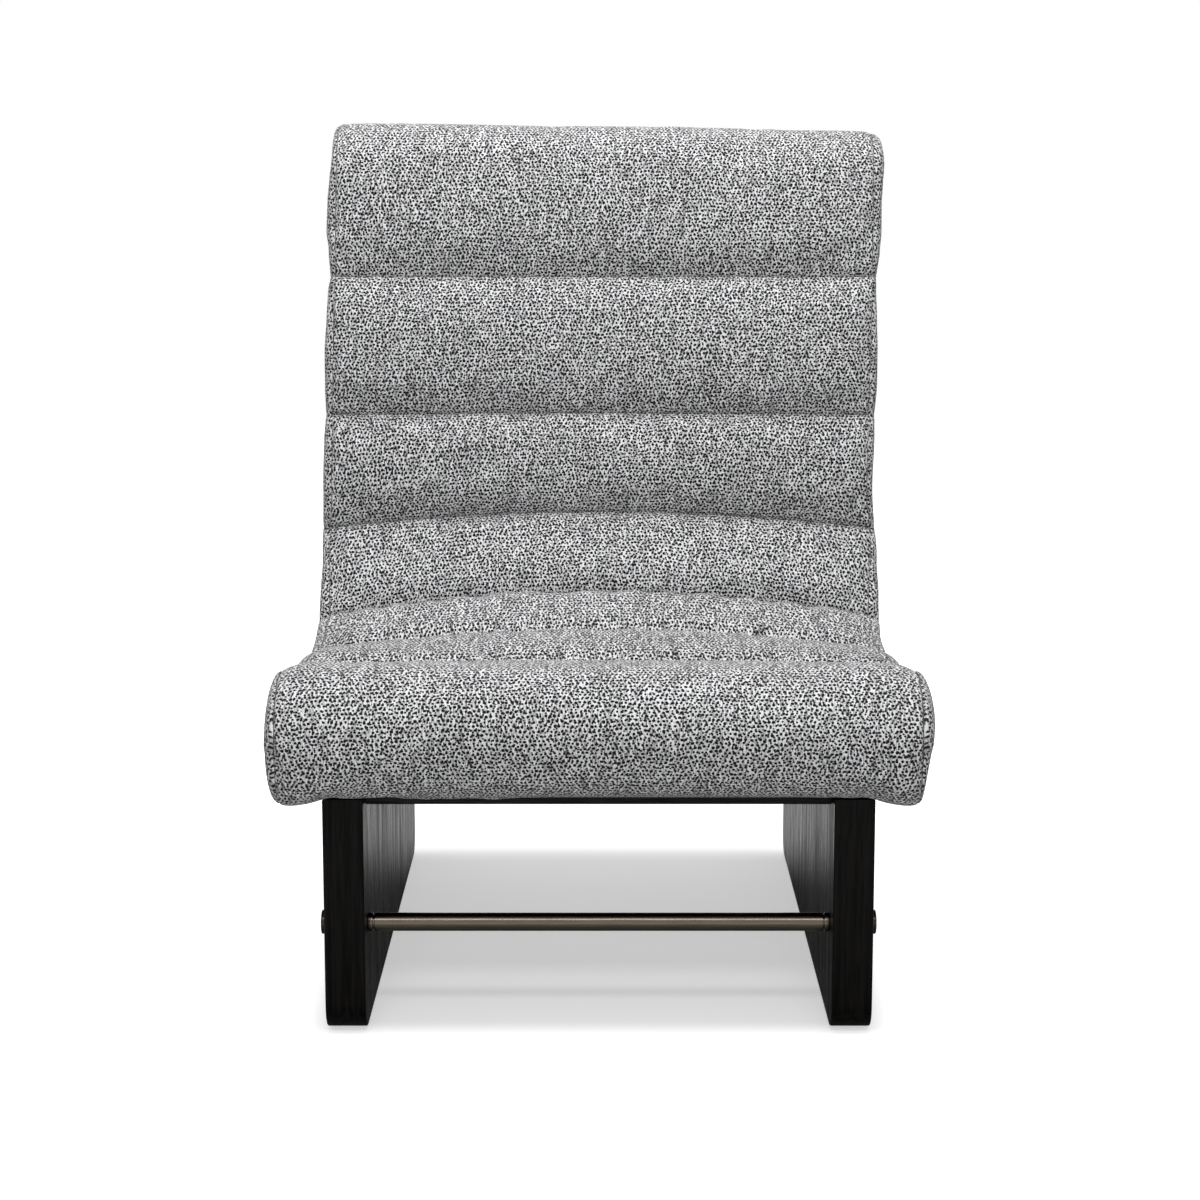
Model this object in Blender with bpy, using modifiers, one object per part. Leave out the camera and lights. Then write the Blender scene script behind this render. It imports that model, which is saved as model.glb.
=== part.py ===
"""Armless lounge chair: a channelled S-shaped body on two slab legs tied by metal rods.

Metres, +Z up, +X to the right seen from the front, -Y to the front. The origin is on the floor, at the
middle of the chair's length and width. The body follows one path in the YZ plane, from under the knee roll,
round it, along the seat, up the back and over the top. Every layer of the body is a height above or below
that path.
"""
import math

import bmesh
import bpy
from mathutils import Matrix, Vector

# Clearances
GAP = 0.0003
SOFT_GAP = 0.0005
SHANK_PLAY = 0.0005

# Whole chair
CHAIR_DEPTH = 0.780
BODY_HALF_WIDTH = 0.330
LEG_OVERHANG = 0.050
GLIDE_THICKNESS = 0.0025

# Body path, all at the bottom of the seams
BODY_THICKNESS = 0.104
SEAT_PITCH = math.radians(6.0)
SEAT_RUN = 0.372
LUMBAR_RADIUS = 0.150
LOWER_LEAN = math.radians(5.0)
UPPER_LEAN = math.radians(14.5)
BACK_RUN = 0.428
UNDER_WRAP = 0.060
REAR_WRAP = 0.030

# Knee roll
ROLL_RADIUS = 0.066
ROLL_HEIGHT = 0.3178
ROLL_RISE = 0.012
NOSE_SET_FORWARD = 0.004

# Channels behind the roll, in order along the path; the head channel takes what is left
SEAT_CHANNEL = 0.150
REAR_SEAT_CHANNEL = 0.137
LUMBAR_CHANNEL = 0.114
LOWER_BACK_CHANNEL = 0.136
UPPER_BACK_CHANNEL = 0.166
CHANNELS = (
    ("front_seat_channel", SEAT_CHANNEL),
    ("middle_seat_channel", SEAT_CHANNEL),
    ("rear_seat_channel", REAR_SEAT_CHANNEL),
    ("lumbar_channel", LUMBAR_CHANNEL),
    ("lower_back_channel", LOWER_BACK_CHANNEL),
    ("upper_back_channel", UPPER_BACK_CHANNEL),
)
CREST_HEIGHT = 0.013
CREST_POWER = 2.4
END_DROP = 0.35
END_POWER = 8
CROWN_HEIGHT = 0.028
CROWN_REACH_FORWARD = 0.460
CROWN_REACH_UP = 0.300
STITCH_WIDTH = 0.002

# Layers of the body, from the path inwards
COVER = 0.002
PAD_DEPTH = 0.014
FOAM_THICKNESS = 0.030
WEBBING = 0.0018
RIB_THICKNESS = 0.020
PANEL = 0.004
PADDING = 0.006
DUST_COVER = 0.0012
SIDE_PANEL = 0.009
SIDE_ROUNDING = 0.008
DUST_COVER_INSET = 0.012

# Rails between the ribs
RAIL_WIDTH = 0.034
RAIL_DEPTH = 0.028
END_RAIL_WIDTH = 0.025

# Slab legs
LEG_THICKNESS = 0.0415
LEG_SETBACK = 0.060
LEG_CORNER = 0.030
LEG_REAR_TOP = 0.300
LEG_EDGE = 0.0015
ROLL_RELIEF = 0.025
ROLL_RELIEF_DROP = 0.0015

# Stretcher rods
ROD_RADIUS = 0.0095
ROD_HEIGHT = 0.110
ROD_INSET = 0.040
SPIGOT_RADIUS = 0.0072
COLLAR_RADIUS = 0.0098
COLLAR_LENGTH = 0.0055
COLLAR_GROOVE = 0.0011
BORE_DEPTH = 0.034
BOLT_RADIUS = 0.004
BOLT_LENGTH_IN_ROD = 0.030
BOLT_HEAD_RADIUS = 0.012
BOLT_HEAD_HEIGHT = 0.0055
BOLT_HEAD_RIM = 0.0015
ROD_CHAMFER = 0.0005

# Seat board and its fixings
BOARD_THICKNESS = 0.012
BOARD_FRONT = 0.085
BOARD_EDGE = 0.001
DOWEL_RADIUS = 0.003
DOWEL_LENGTH = 0.036
DOWEL_MARGIN = 0.040
SEAT_BOLT_RADIUS = 0.003
SEAT_BOLT_SPREAD = 0.300
SEAT_BOLT_HEAD_RADIUS = 0.0075
SEAT_BOLT_HEAD = 0.004
TEE_BARREL_RADIUS = 0.0045
TEE_FLANGE_RADIUS = 0.010
TEE_FLANGE = 0.0015
TEE_BARREL = 0.010
FRONT_SEAT_RAIL = 0.110
REAR_SEAT_RAIL = 0.300
SEAT_BOLT_PROUD = 0.002

# Glides
GLIDE_RADIUS = 0.011
GLIDE_PIN_RADIUS = 0.0015
GLIDE_PIN = 0.012
GLIDE_INSET = 0.080

# Facets
NOSE_FACETS = 4
TOP_FACETS = 6
ROLL_BACK_STOPS = (0.40, 0.75)
CHANNEL_STOPS = (0.0, 0.12, 0.30, 0.50, 0.70, 0.88, 1.0)
HEAD_STOPS = (0.0, 0.15, 0.40, 0.70)
WIDTH_STOPS = (-1.0, -0.92, -0.70, -0.36, 0.0, 0.36, 0.70, 0.92, 1.0)
CORNER_FACETS = 5
SIDE_FACETS = 3
ROD_FACETS = 24
FASTENER_FACETS = 12
SAME_PLACE = 0.000001
FACING = 0.9
SMOOTH_BELOW = math.radians(40.0)
BEVEL_ABOVE = math.radians(50.0)

# Places worked out from the sizes above
SIDES = {"left": -1, "right": 1}
CORE_HALF_WIDTH = BODY_HALF_WIDTH - SIDE_PANEL - GAP
LEG_OUTER = BODY_HALF_WIDTH - LEG_OVERHANG
LEG_INNER = LEG_OUTER - LEG_THICKNESS
FRONT = -CHAIR_DEPTH / 2
LEG_FRONT = FRONT + LEG_SETBACK
LEG_REAR = CHAIR_DEPTH / 2
LEG_BOTTOM = GLIDE_THICKNESS + GAP
NOSE_RADIUS = BODY_THICKNESS / 2
RIB_HALF_CENTRE = CORE_HALF_WIDTH - RIB_THICKNESS / 2
RAIL_HALF_LENGTH = CORE_HALF_WIDTH - RIB_THICKNESS - GAP

PAD_TOP = -COVER - GAP
PAD_FLOOR = -COVER - PAD_DEPTH
FOAM_TOP = PAD_FLOOR - SOFT_GAP
FOAM_FLOOR = FOAM_TOP - FOAM_THICKNESS
WEB_TOP = FOAM_FLOOR - SOFT_GAP
WEB_FLOOR = WEB_TOP - WEBBING
RIB_TOP = WEB_FLOOR - SOFT_GAP
OUTSIDE = -BODY_THICKNESS
PADDING_FLOOR = OUTSIDE + COVER + GAP
PADDING_TOP = PADDING_FLOOR + PADDING
PANEL_FLOOR = PADDING_TOP + GAP
PANEL_TOP = PANEL_FLOOR + PANEL
RIB_FLOOR = PANEL_TOP + GAP
RAIL_TOP = RIB_FLOOR + RAIL_DEPTH


class BodyPath:
    """The body's line in the YZ plane: straight runs and arcs, each from where the last one ends."""

    def __init__(self, start, heading, runs):
        self.runs = []
        at = 0.0
        for name, length, turn in runs:
            self.runs.append((name, at, length, turn, start, heading))
            start, heading = self.step(start, heading, length, turn, length)
            at += length
        self.length = at

    @staticmethod
    def step(start, heading, length, turn, along):
        """Where a run has got to after a length of it, and which way it points."""
        if turn == 0.0:
            ahead = Vector((math.cos(heading), math.sin(heading)))
            return start + ahead * along, heading
        radius = length / turn
        now = heading + along / radius
        moved = Vector((math.sin(now) - math.sin(heading), math.cos(heading) - math.cos(now)))
        return start + moved * radius, now

    def start_of(self, name):
        return next(run[1] for run in self.runs if run[0] == name)

    def end_of(self, name):
        return next(run[1] + run[2] for run in self.runs if run[0] == name)

    def at(self, s):
        """The point and the outward direction at a length along the path."""
        run = [run for run in self.runs if run[1] <= s + SAME_PLACE][-1]
        point, heading = self.step(run[4], run[5], run[2], run[3], s - run[1])
        return point, Vector((-math.sin(heading), math.cos(heading)))


def body_path():
    """The path, set so that the knee roll's front touches the front of the chair."""
    back_turn = UPPER_LEAN - LOWER_LEAN
    tail_turn = REAR_WRAP * back_turn / BACK_RUN
    lumbar_turn = math.pi / 2 - LOWER_LEAN + SEAT_PITCH
    nose = Vector((FRONT + ROLL_RADIUS - NOSE_SET_FORWARD, ROLL_HEIGHT - ROLL_RISE))
    heading = math.pi - SEAT_PITCH
    outward = Vector((-math.sin(heading), math.cos(heading)))
    backwards = -Vector((math.cos(heading), math.sin(heading)))
    start = nose + outward * NOSE_RADIUS + backwards * UNDER_WRAP
    return BodyPath(
        start,
        heading,
        (
            ("under", UNDER_WRAP, 0.0),
            ("nose", math.pi * NOSE_RADIUS, -math.pi),
            ("seat", SEAT_RUN, 0.0),
            ("lumbar", LUMBAR_RADIUS * lumbar_turn, lumbar_turn),
            ("back", BACK_RUN, -back_turn),
            ("top", math.pi * NOSE_RADIUS, -math.pi),
            ("rear", REAR_WRAP - tail_turn * BODY_THICKNESS, tail_turn),
        ),
    )


PATH = body_path()
NOSE_END = PATH.end_of("nose")
NOSE_START = PATH.start_of("nose")
TOP_START = PATH.start_of("top")
TOP_END = PATH.end_of("top")
ROLL_CENTRE = Vector((FRONT + ROLL_RADIUS, ROLL_HEIGHT))


def roll_bulge(s):
    """How far the round knee roll stands out from the path, or None where it has ended."""
    point, outward = PATH.at(s)
    away = point - ROLL_CENTRE
    along = away.dot(outward)
    inside = along**2 - away.length_squared + ROLL_RADIUS**2
    return -along + math.sqrt(inside) if inside > 0.0 else None


def roll_seam():
    """The length along the path where the knee roll meets the seat."""
    point, outward = PATH.at(NOSE_END)
    forward = Vector((outward.y, -outward.x))
    away = point - ROLL_CENTRE
    return NOSE_END - away.dot(forward) + math.sqrt(ROLL_RADIUS**2 - away.dot(outward) ** 2)


ROLL_SEAM = roll_seam()
SEAMS = [ROLL_SEAM]
for channel_name, channel_length in CHANNELS:
    SEAMS.append(SEAMS[-1] + channel_length)
HEAD_SEAM = SEAMS[-1]
REAR_CHANNEL_SEAM, CROWN_SEAM = SEAMS[2:4]


def pillow(share):
    """The height of a channel's crest across its own width, from 0 at a seam to 1 in the middle."""
    return 1.0 - abs(2.0 * share - 1.0) ** CREST_POWER


def crest(s):
    """Height of the cover over the path, from the channel that this place lies in."""
    if s <= ROLL_SEAM:
        bulge = roll_bulge(s)
        return max(bulge, 0.0) if bulge is not None else 0.0
    if s >= HEAD_SEAM:
        if s <= TOP_START:
            share = (s - HEAD_SEAM) / (TOP_START - HEAD_SEAM) / 2
        else:
            share = min(0.5 + (s - TOP_START) / (TOP_END - TOP_START) / 2, 1.0)
        return CREST_HEIGHT * pillow(share)
    index = max(i for i, seam in enumerate(SEAMS) if seam <= s)
    share = (s - SEAMS[index]) / (SEAMS[index + 1] - SEAMS[index])
    return CREST_HEIGHT * pillow(share)


def crown(s):
    """How far the filling lifts the middle of the seat, most at the seam under the lumbar channel."""
    reach = CROWN_REACH_FORWARD if s < CROWN_SEAM else CROWN_REACH_UP
    share = min(abs(s - CROWN_SEAM) / reach, 1.0)
    return CROWN_HEIGHT * math.cos(share * math.pi / 2) ** 2


def board(s, x, height):
    """A place on a plain layer: so far along the path, across the chair and out from the path."""
    point, outward = PATH.at(s)
    point = point + outward * height
    return Vector((x, point.x, point.y))


def skin(s, x, depth):
    """A place on the cushioned front, sunk by a depth below the cover's outer face."""
    across = abs(x) / CORE_HALF_WIDTH
    drop = 1.0 - END_DROP * across**END_POWER if s > ROLL_SEAM else 1.0
    place = board(s, x, crest(s) * drop + depth)
    place.z += crown(s) * (1.0 - across**2)
    return place


def stops_between(start, end):
    return [s for s in STOPS if start - SAME_PLACE <= s <= end + SAME_PLACE]


def shared_stops():
    """Lengths along the path at which every layer has a row of points, so that layers stay parallel."""
    roll_tilt = math.asin(ROLL_RISE / (ROLL_RADIUS - NOSE_SET_FORWARD))
    tip = NOSE_START + NOSE_RADIUS * (math.pi / 2 - SEAT_PITCH + roll_tilt)
    stops = [0.0, NOSE_START / 2]
    stops += [NOSE_START + (tip - NOSE_START) * i / NOSE_FACETS for i in range(NOSE_FACETS)]
    stops += [tip + (NOSE_END - tip) * i / NOSE_FACETS for i in range(NOSE_FACETS + 1)]
    stops += [NOSE_END + (ROLL_SEAM - NOSE_END) * share for share in ROLL_BACK_STOPS]
    for start, end in zip(SEAMS, SEAMS[1:]):
        stops += [start + (end - start) * share for share in CHANNEL_STOPS[:-1]]
    stops += [HEAD_SEAM + (TOP_START - HEAD_SEAM) * share for share in HEAD_STOPS]
    stops += [TOP_START + (TOP_END - TOP_START) * i / TOP_FACETS for i in range(TOP_FACETS + 1)]
    return stops + [PATH.length]


STOPS = shared_stops()
BODY_STOPS = stops_between(NOSE_END, TOP_START)


# Scene and materials
for old in list(bpy.data.objects):
    bpy.data.objects.remove(old)

CHAIR = bpy.data.collections.new("occasional_chair")
CUTTERS = bpy.data.collections.new("cutters")
bpy.context.scene.collection.children.link(CHAIR)
bpy.context.scene.collection.children.link(CUTTERS)


def material(name, colour, roughness, metallic=0.0):
    made = bpy.data.materials.new(name)
    made.use_nodes = True
    shader = made.node_tree.nodes["Principled BSDF"]
    shader.inputs["Base Color"].default_value = (*colour, 1.0)
    shader.inputs["Roughness"].default_value = roughness
    shader.inputs["Metallic"].default_value = metallic
    made.diffuse_color = (*colour, 1.0)
    return made


FABRIC = material("grey_hopsack", (0.36, 0.37, 0.38), 0.90)
BLACK_WOOD = material("black_stained_oak", (0.016, 0.015, 0.014), 0.50)
BRONZE = material("dark_bronze", (0.16, 0.13, 0.10), 0.35, 1.0)
PLYWOOD = material("birch_plywood", (0.62, 0.47, 0.30), 0.60)
FOAM = material("cream_foam", (0.80, 0.76, 0.62), 0.95)
FIBRE = material("white_fibre", (0.85, 0.85, 0.83), 0.95)
WEB = material("brown_webbing", (0.20, 0.13, 0.08), 0.85)
CAMBRIC = material("black_cambric", (0.02, 0.02, 0.02), 0.95)
ZINC = material("zinc_plated_steel", (0.55, 0.56, 0.58), 0.35, 1.0)
NYLON = material("black_nylon", (0.03, 0.03, 0.03), 0.45)
BEECH = material("beech", (0.60, 0.42, 0.25), 0.55)


def empty(name):
    made = bpy.data.objects.new(name, None)
    CHAIR.objects.link(made)
    return made


LEG_FRAME = empty("leg_frame")
SEAT_BODY = empty("seat_body")


def finished(mesh, finish):
    """Gives a mesh its material and smooth shading."""
    mesh.materials.append(finish)
    mesh.shade_smooth()
    mesh.set_sharp_from_angle(angle=SMOOTH_BELOW)


def add(name, mesh, finish, parent):
    """A named piece of the chair."""
    made = bpy.data.objects.new(name, mesh)
    finished(mesh, finish)
    made.parent = parent
    CHAIR.objects.link(made)
    return made


def mesh_from(bm, name):
    mesh = bpy.data.meshes.new(name)
    bm.to_mesh(mesh)
    bm.free()
    return mesh


def add_slab(name, stops, columns, lower, upper, finish):
    """A closed slab that follows the path: a grid, extruded, whose two faces are set in their places."""
    bm = bmesh.new()
    rows, across = len(stops) - 1, len(columns) - 1
    bmesh.ops.create_grid(bm, x_segments=across, y_segments=rows, size=0.5)
    key = {}
    for vert in bm.verts:
        column = round((vert.co.x + 0.5) * across)
        row = round((vert.co.y + 0.5) * rows)
        key[vert] = (row, column, 0)
    made = bmesh.ops.extrude_face_region(bm, geom=bm.faces[:])
    for vert in (item for item in made["geom"] if isinstance(item, bmesh.types.BMVert)):
        column = round((vert.co.x + 0.5) * across)
        row = round((vert.co.y + 0.5) * rows)
        key[vert] = (row, column, 1)
    for vert, (row, column, side) in key.items():
        place = upper if side else lower
        vert.co = place(stops[row], columns[column])
    # Every layer splits its faces along the same diagonals, mirrored left and right.
    for face in list(bm.faces):
        rank = [key[v][0] + abs(columns[key[v][1]]) + 0.5 * key[v][2] for v in face.verts]
        low, high = rank.index(min(rank)), rank.index(max(rank))
        if (low - high) % 4 == 2:
            bmesh.utils.face_split(face, face.verts[low], face.verts[high])
        else:
            bmesh.ops.triangulate(bm, faces=[face])
    bmesh.ops.recalc_face_normals(bm, faces=bm.faces)
    return add(name, mesh_from(bm, name), finish, SEAT_BODY)


def outline_plate(name, outline, thickness):
    """A mesh cut from sheet: a filled outline in Y and Z, as thick as given, centred on X = 0."""
    curve = bpy.data.curves.new(name, "CURVE")
    curve.dimensions = "2D"
    curve.fill_mode = "BOTH"
    curve.extrude = thickness / 2
    spline = curve.splines.new("POLY")
    spline.points.add(len(outline) - 1)
    for point, (y, z) in zip(spline.points, outline):
        point.co = (y, z, 0.0, 1.0)
    spline.use_cyclic_u = True
    flat = bpy.data.objects.new(name, curve)
    CHAIR.objects.link(flat)
    evaluated = flat.evaluated_get(bpy.context.evaluated_depsgraph_get())
    mesh = bpy.data.meshes.new_from_object(evaluated)
    bpy.data.objects.remove(flat)
    bm = bmesh.new()
    bm.from_mesh(mesh)
    bmesh.ops.remove_doubles(bm, verts=bm.verts, dist=SAME_PLACE)
    upright = Matrix(((0, 0, 1, 0), (1, 0, 0, 0), (0, 1, 0, 0), (0, 0, 0, 1)))
    bmesh.ops.transform(bm, matrix=upright, verts=bm.verts)
    bmesh.ops.recalc_face_normals(bm, faces=bm.faces)
    for sign in SIDES.values():
        flat_side = [face for face in bm.faces if face.normal.x * sign > FACING]
        bmesh.ops.dissolve_faces(bm, faces=flat_side)
    bm.to_mesh(mesh)
    bm.free()
    return mesh


def turned(name, profile, facets):
    """A mesh turned about Z from a profile of (radius, height) pairs, from the axis back to the axis."""
    bm = bmesh.new()
    chain = [bm.verts.new((radius, 0.0, height)) for radius, height in profile]
    for one, two in zip(chain, chain[1:]):
        bm.edges.new((one, two))
    mesh = mesh_from(bm, name)
    lathe = bpy.data.objects.new(name, mesh)
    CHAIR.objects.link(lathe)
    screw = lathe.modifiers.new("turning", "SCREW")
    screw.steps = facets
    screw.render_steps = facets
    screw.use_merge_vertices = True
    screw.merge_threshold = SAME_PLACE
    evaluated = lathe.evaluated_get(bpy.context.evaluated_depsgraph_get())
    made = bpy.data.meshes.new_from_object(evaluated)
    bpy.data.objects.remove(lathe)
    bm = bmesh.new()
    bm.from_mesh(made)
    bmesh.ops.recalc_face_normals(bm, faces=bm.faces)
    bm.to_mesh(made)
    bm.free()
    return made


def ring(name, profile, facets):
    """As turned, for a profile that closes on itself away from the axis."""
    return turned(name, [*profile, profile[0]], facets)


def gathered(name, mesh, places):
    """One mesh of separate copies of a mesh, one at each place."""
    bm = bmesh.new()
    for place in places:
        before = len(bm.verts)
        bm.from_mesh(mesh)
        bm.verts.ensure_lookup_table()
        bmesh.ops.transform(bm, matrix=place, verts=bm.verts[before:])
    bmesh.ops.recalc_face_normals(bm, faces=bm.faces)
    return mesh_from(bm, name)


def add_each(stem, mesh, places, finish, parent):
    """Copies of a fastener that share one mesh: places maps where each one is, in words, to its frame."""
    finished(mesh, finish)
    for where, frame in places.items():
        made = bpy.data.objects.new(f"{where}_{stem}", mesh)
        made.parent = parent
        CHAIR.objects.link(made)
        made.matrix_world = frame


def cut(target, name, mesh):
    """Takes a cutter's shape out of a piece."""
    cutter = bpy.data.objects.new(name, mesh)
    cutter.hide_render = True
    cutter.display_type = "WIRE"
    CUTTERS.objects.link(cutter)
    modifier = target.modifiers.new(name, "BOOLEAN")
    modifier.operation = "DIFFERENCE"
    modifier.solver = "EXACT"
    modifier.object = cutter


def cylinder(name, radius, low, high):
    """A plain round pin along Z, as a cutter or a dowel."""
    return turned(name, [(0.0, high), (radius, high), (radius, low), (0.0, low)], FASTENER_FACETS)


def bevelled(target, width):
    """Takes the sharpness off a piece's square edges."""
    modifier = target.modifiers.new("edge", "BEVEL")
    modifier.width = width
    modifier.segments = 1
    modifier.limit_method = "ANGLE"
    modifier.angle_limit = BEVEL_ABOVE
    modifier.use_clamp_overlap = False


def place_on_path(s, x, height):
    """A frame at a place in the body, with its Z pointing outwards from the path."""
    _, outward = PATH.at(s)
    tilt = math.atan2(-outward.x, outward.y)
    return Matrix.Translation(board(s, x, height)) @ Matrix.Rotation(tilt, 4, "X")


# Channel fillings, one under each channel of the cover
FULL_WIDTH = [CORE_HALF_WIDTH * share for share in WIDTH_STOPS]
PLAIN_WIDTH = [-CORE_HALF_WIDTH, CORE_HALF_WIDTH]


def pad(name, start, end):
    """A filling between two seams, whose ends stay half a stitch's width from them."""
    stops = stops_between(start, end)

    def sewn(place):
        def placed(s, x):
            if s not in (stops[0], stops[-1]):
                return place(s, x)
            inner = stops[1] if s == stops[0] else stops[-2]
            return place(s, x).lerp(place(inner, x), STITCH_WIDTH / 2 / abs(inner - s))

        return placed

    lower = sewn(lambda s, x: board(s, x, PAD_FLOOR))
    upper = sewn(lambda s, x: skin(s, x, PAD_TOP))
    add_slab(name, stops, FULL_WIDTH, lower, upper, FIBRE)


pad("knee_roll", NOSE_START, ROLL_SEAM)
for (channel_name, _), seam, next_seam in zip(CHANNELS, SEAMS, SEAMS[1:]):
    pad(channel_name, seam, next_seam)
pad("head_channel", HEAD_SEAM, TOP_END)

# Front cover, sewn down between the channels
add_slab(
    "front_cover",
    STOPS,
    FULL_WIDTH,
    lambda s, x: skin(s, x, -COVER),
    lambda s, x: skin(s, x, 0.0),
    FABRIC,
)

# Foam core and the round foams at its two ends
add_slab(
    "foam_core",
    BODY_STOPS,
    PLAIN_WIDTH,
    lambda s, x: board(s, x, FOAM_FLOOR),
    lambda s, x: board(s, x, FOAM_TOP),
    FOAM,
)


def end_foam(name, run):
    """A half-round length of foam, whose flat side faces the end of the foam core."""
    start, end = PATH.start_of(run), PATH.end_of(run)
    stops = stops_between(start, end)
    outline = [board(s, 0.0, FOAM_TOP).yz for s in stops]
    towards_tip = board((start + end) / 2, 0.0, 0.0).yz - (outline[0] + outline[-1]) / 2
    clear = towards_tip.normalized() * GAP
    mesh = outline_plate(name, [point + clear for point in outline], 2 * CORE_HALF_WIDTH)
    add(name, mesh, FOAM, SEAT_BODY)


end_foam("nose_foam", "nose")
end_foam("top_foam", "top")


# Plywood ribs, from the nose to the top
def rib_outline():
    front = [board(s, 0.0, RIB_TOP).yz for s in BODY_STOPS]
    rear = [board(s, 0.0, RIB_FLOOR).yz for s in reversed(BODY_STOPS)]
    return front + rear


for side, sign in SIDES.items():
    rib_mesh = outline_plate("rib", rib_outline(), RIB_THICKNESS)
    rib = add(f"{side}_rib", rib_mesh, PLYWOOD, SEAT_BODY)
    rib.location.x = sign * RIB_HALF_CENTRE


# Rails between the ribs
def box(name, size):
    """A mesh of a plain block, centred on the origin."""
    bm = bmesh.new()
    bmesh.ops.create_cube(bm, size=1.0)
    bmesh.ops.scale(bm, vec=size, verts=bm.verts)
    return mesh_from(bm, name)


def add_rail(name, s, width, low, high):
    """A straight batten across the frame, centred on a length along the path."""
    mesh = box(name, (2 * RAIL_HALF_LENGTH, width, high - low))
    rail = add(name, mesh, BEECH, SEAT_BODY)
    rail.matrix_world = place_on_path(s, 0.0, (low + high) / 2)
    return rail


LUMBAR_END = PATH.end_of("lumbar")
END_RAIL_REACH = END_RAIL_WIDTH / 2 + GAP
BACK_RAIL_FLOOR = RIB_FLOOR + SOFT_GAP
add_rail("nose_rail", NOSE_END + END_RAIL_REACH, END_RAIL_WIDTH, RIB_FLOOR, RIB_TOP)
front_rail = add_rail("front_seat_rail", NOSE_END + FRONT_SEAT_RAIL, RAIL_WIDTH, RIB_FLOOR, RAIL_TOP)
rear_rail = add_rail("rear_seat_rail", NOSE_END + REAR_SEAT_RAIL, RAIL_WIDTH, RIB_FLOOR, RAIL_TOP)
add_rail("back_rail", (LUMBAR_END + TOP_START) / 2, RAIL_WIDTH, BACK_RAIL_FLOOR, RAIL_TOP)
add_rail("top_rail", TOP_START - END_RAIL_REACH, END_RAIL_WIDTH, BACK_RAIL_FLOOR, RIB_TOP - SOFT_GAP)


# Elastic webbing, one strap stapled across the ribs under each channel
def add_strap(name, seam, next_seam):
    strap_share = CHANNEL_STOPS[2], CHANNEL_STOPS[-3]
    start, end = (seam + (next_seam - seam) * share for share in strap_share)
    add_slab(
        name,
        stops_between(start, end),
        PLAIN_WIDTH,
        lambda s, x: board(s, x, WEB_FLOOR),
        lambda s, x: board(s, x, WEB_TOP),
        WEB,
    )


for (channel_name, _), seam, next_seam in zip(CHANNELS, SEAMS, SEAMS[1:]):
    add_strap(channel_name.replace("channel", "strap"), seam, next_seam)

# Outer panel, its padding, and the covers outside them
outer_layers = {
    "outer_panel": (PANEL_FLOOR, PANEL_TOP, PLYWOOD),
    "outer_padding": (PADDING_FLOOR, PADDING_TOP, FIBRE),
}
for layer_name, (low, high, finish) in outer_layers.items():
    outer_layers[layer_name] = add_slab(
        layer_name,
        BODY_STOPS,
        PLAIN_WIDTH,
        lambda s, x, low=low: board(s, x, low),
        lambda s, x, high=high: board(s, x, high),
        finish,
    )


# The outside cover starts under the rear seat channel and meets the front cover's tail behind the back
UNDER_END = NOSE_END + UNDER_WRAP
TAIL_SEAM = TOP_START - REAR_WRAP
OUTSIDE_STOPS = stops_between(REAR_CHANNEL_SEAM, TAIL_SEAM)
OUTSIDE_STOPS.append(TAIL_SEAM - GAP)
add_slab(
    "outside_back_cover",
    OUTSIDE_STOPS,
    PLAIN_WIDTH,
    lambda s, x: board(s, x, OUTSIDE),
    lambda s, x: board(s, x, OUTSIDE + COVER),
    FABRIC,
)
dust_half_width = CORE_HALF_WIDTH - DUST_COVER_INSET
dust_cover = add_slab(
    "dust_cover",
    [UNDER_END + STITCH_WIDTH, OUTSIDE_STOPS[0] - STITCH_WIDTH],
    [-dust_half_width, dust_half_width],
    lambda s, x: board(s, x, OUTSIDE + COVER - DUST_COVER),
    lambda s, x: board(s, x, OUTSIDE + COVER),
    CAMBRIC,
)


# Side boxing, fabric over wadding, cut to the body's outline
def side_outline():
    edge = CORE_HALF_WIDTH
    cushioned = [skin(s, edge, 0.0).yz for s in STOPS]
    behind = [board(s, edge, OUTSIDE).yz for s in reversed(BODY_STOPS) if UNDER_END < s < TAIL_SEAM]
    return cushioned + behind


for side, sign in SIDES.items():
    bm = bmesh.new()
    bm.from_mesh(outline_plate("side_panel", side_outline(), SIDE_PANEL))
    outer_face = next(face for face in bm.faces if face.normal.x * sign > FACING)
    bmesh.ops.bevel(
        bm,
        geom=outer_face.edges[:],
        offset=SIDE_ROUNDING,
        offset_type="OFFSET",
        segments=SIDE_FACETS,
        profile=0.5,
        affect="EDGES",
        material=-1,
    )
    panel = add(f"{side}_side_panel", mesh_from(bm, "side_panel"), FABRIC, SEAT_BODY)
    panel.location.x = sign * (BODY_HALF_WIDTH - SIDE_PANEL / 2)


# Slab legs, whose top edge cradles the body
def arc(centre_y, centre_z, radius, start, end):
    """Points on a quarter turn, in degrees from +Y towards +Z."""
    turns = [math.radians(start + (end - start) * i / CORNER_FACETS) for i in range(CORNER_FACETS + 1)]
    return [(centre_y + radius * math.cos(a), centre_z + radius * math.sin(a)) for a in turns]


def stop_at_height(height, level):
    """The length along the lumbar bend at which a layer reaches a height."""
    low, high = PATH.start_of("lumbar"), PATH.end_of("lumbar")
    for _ in range(40):
        middle = (low + high) / 2
        if board(middle, 0.0, level).z < height:
            low = middle
        else:
            high = middle
    return low


UNDERSIDE_FRONT = board(NOSE_END, 0.0, OUTSIDE).y
BOARD_START = NOSE_END + (FRONT + BOARD_FRONT - UNDERSIDE_FRONT) / math.cos(SEAT_PITCH)
BOARD_END = PATH.end_of("seat")


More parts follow.
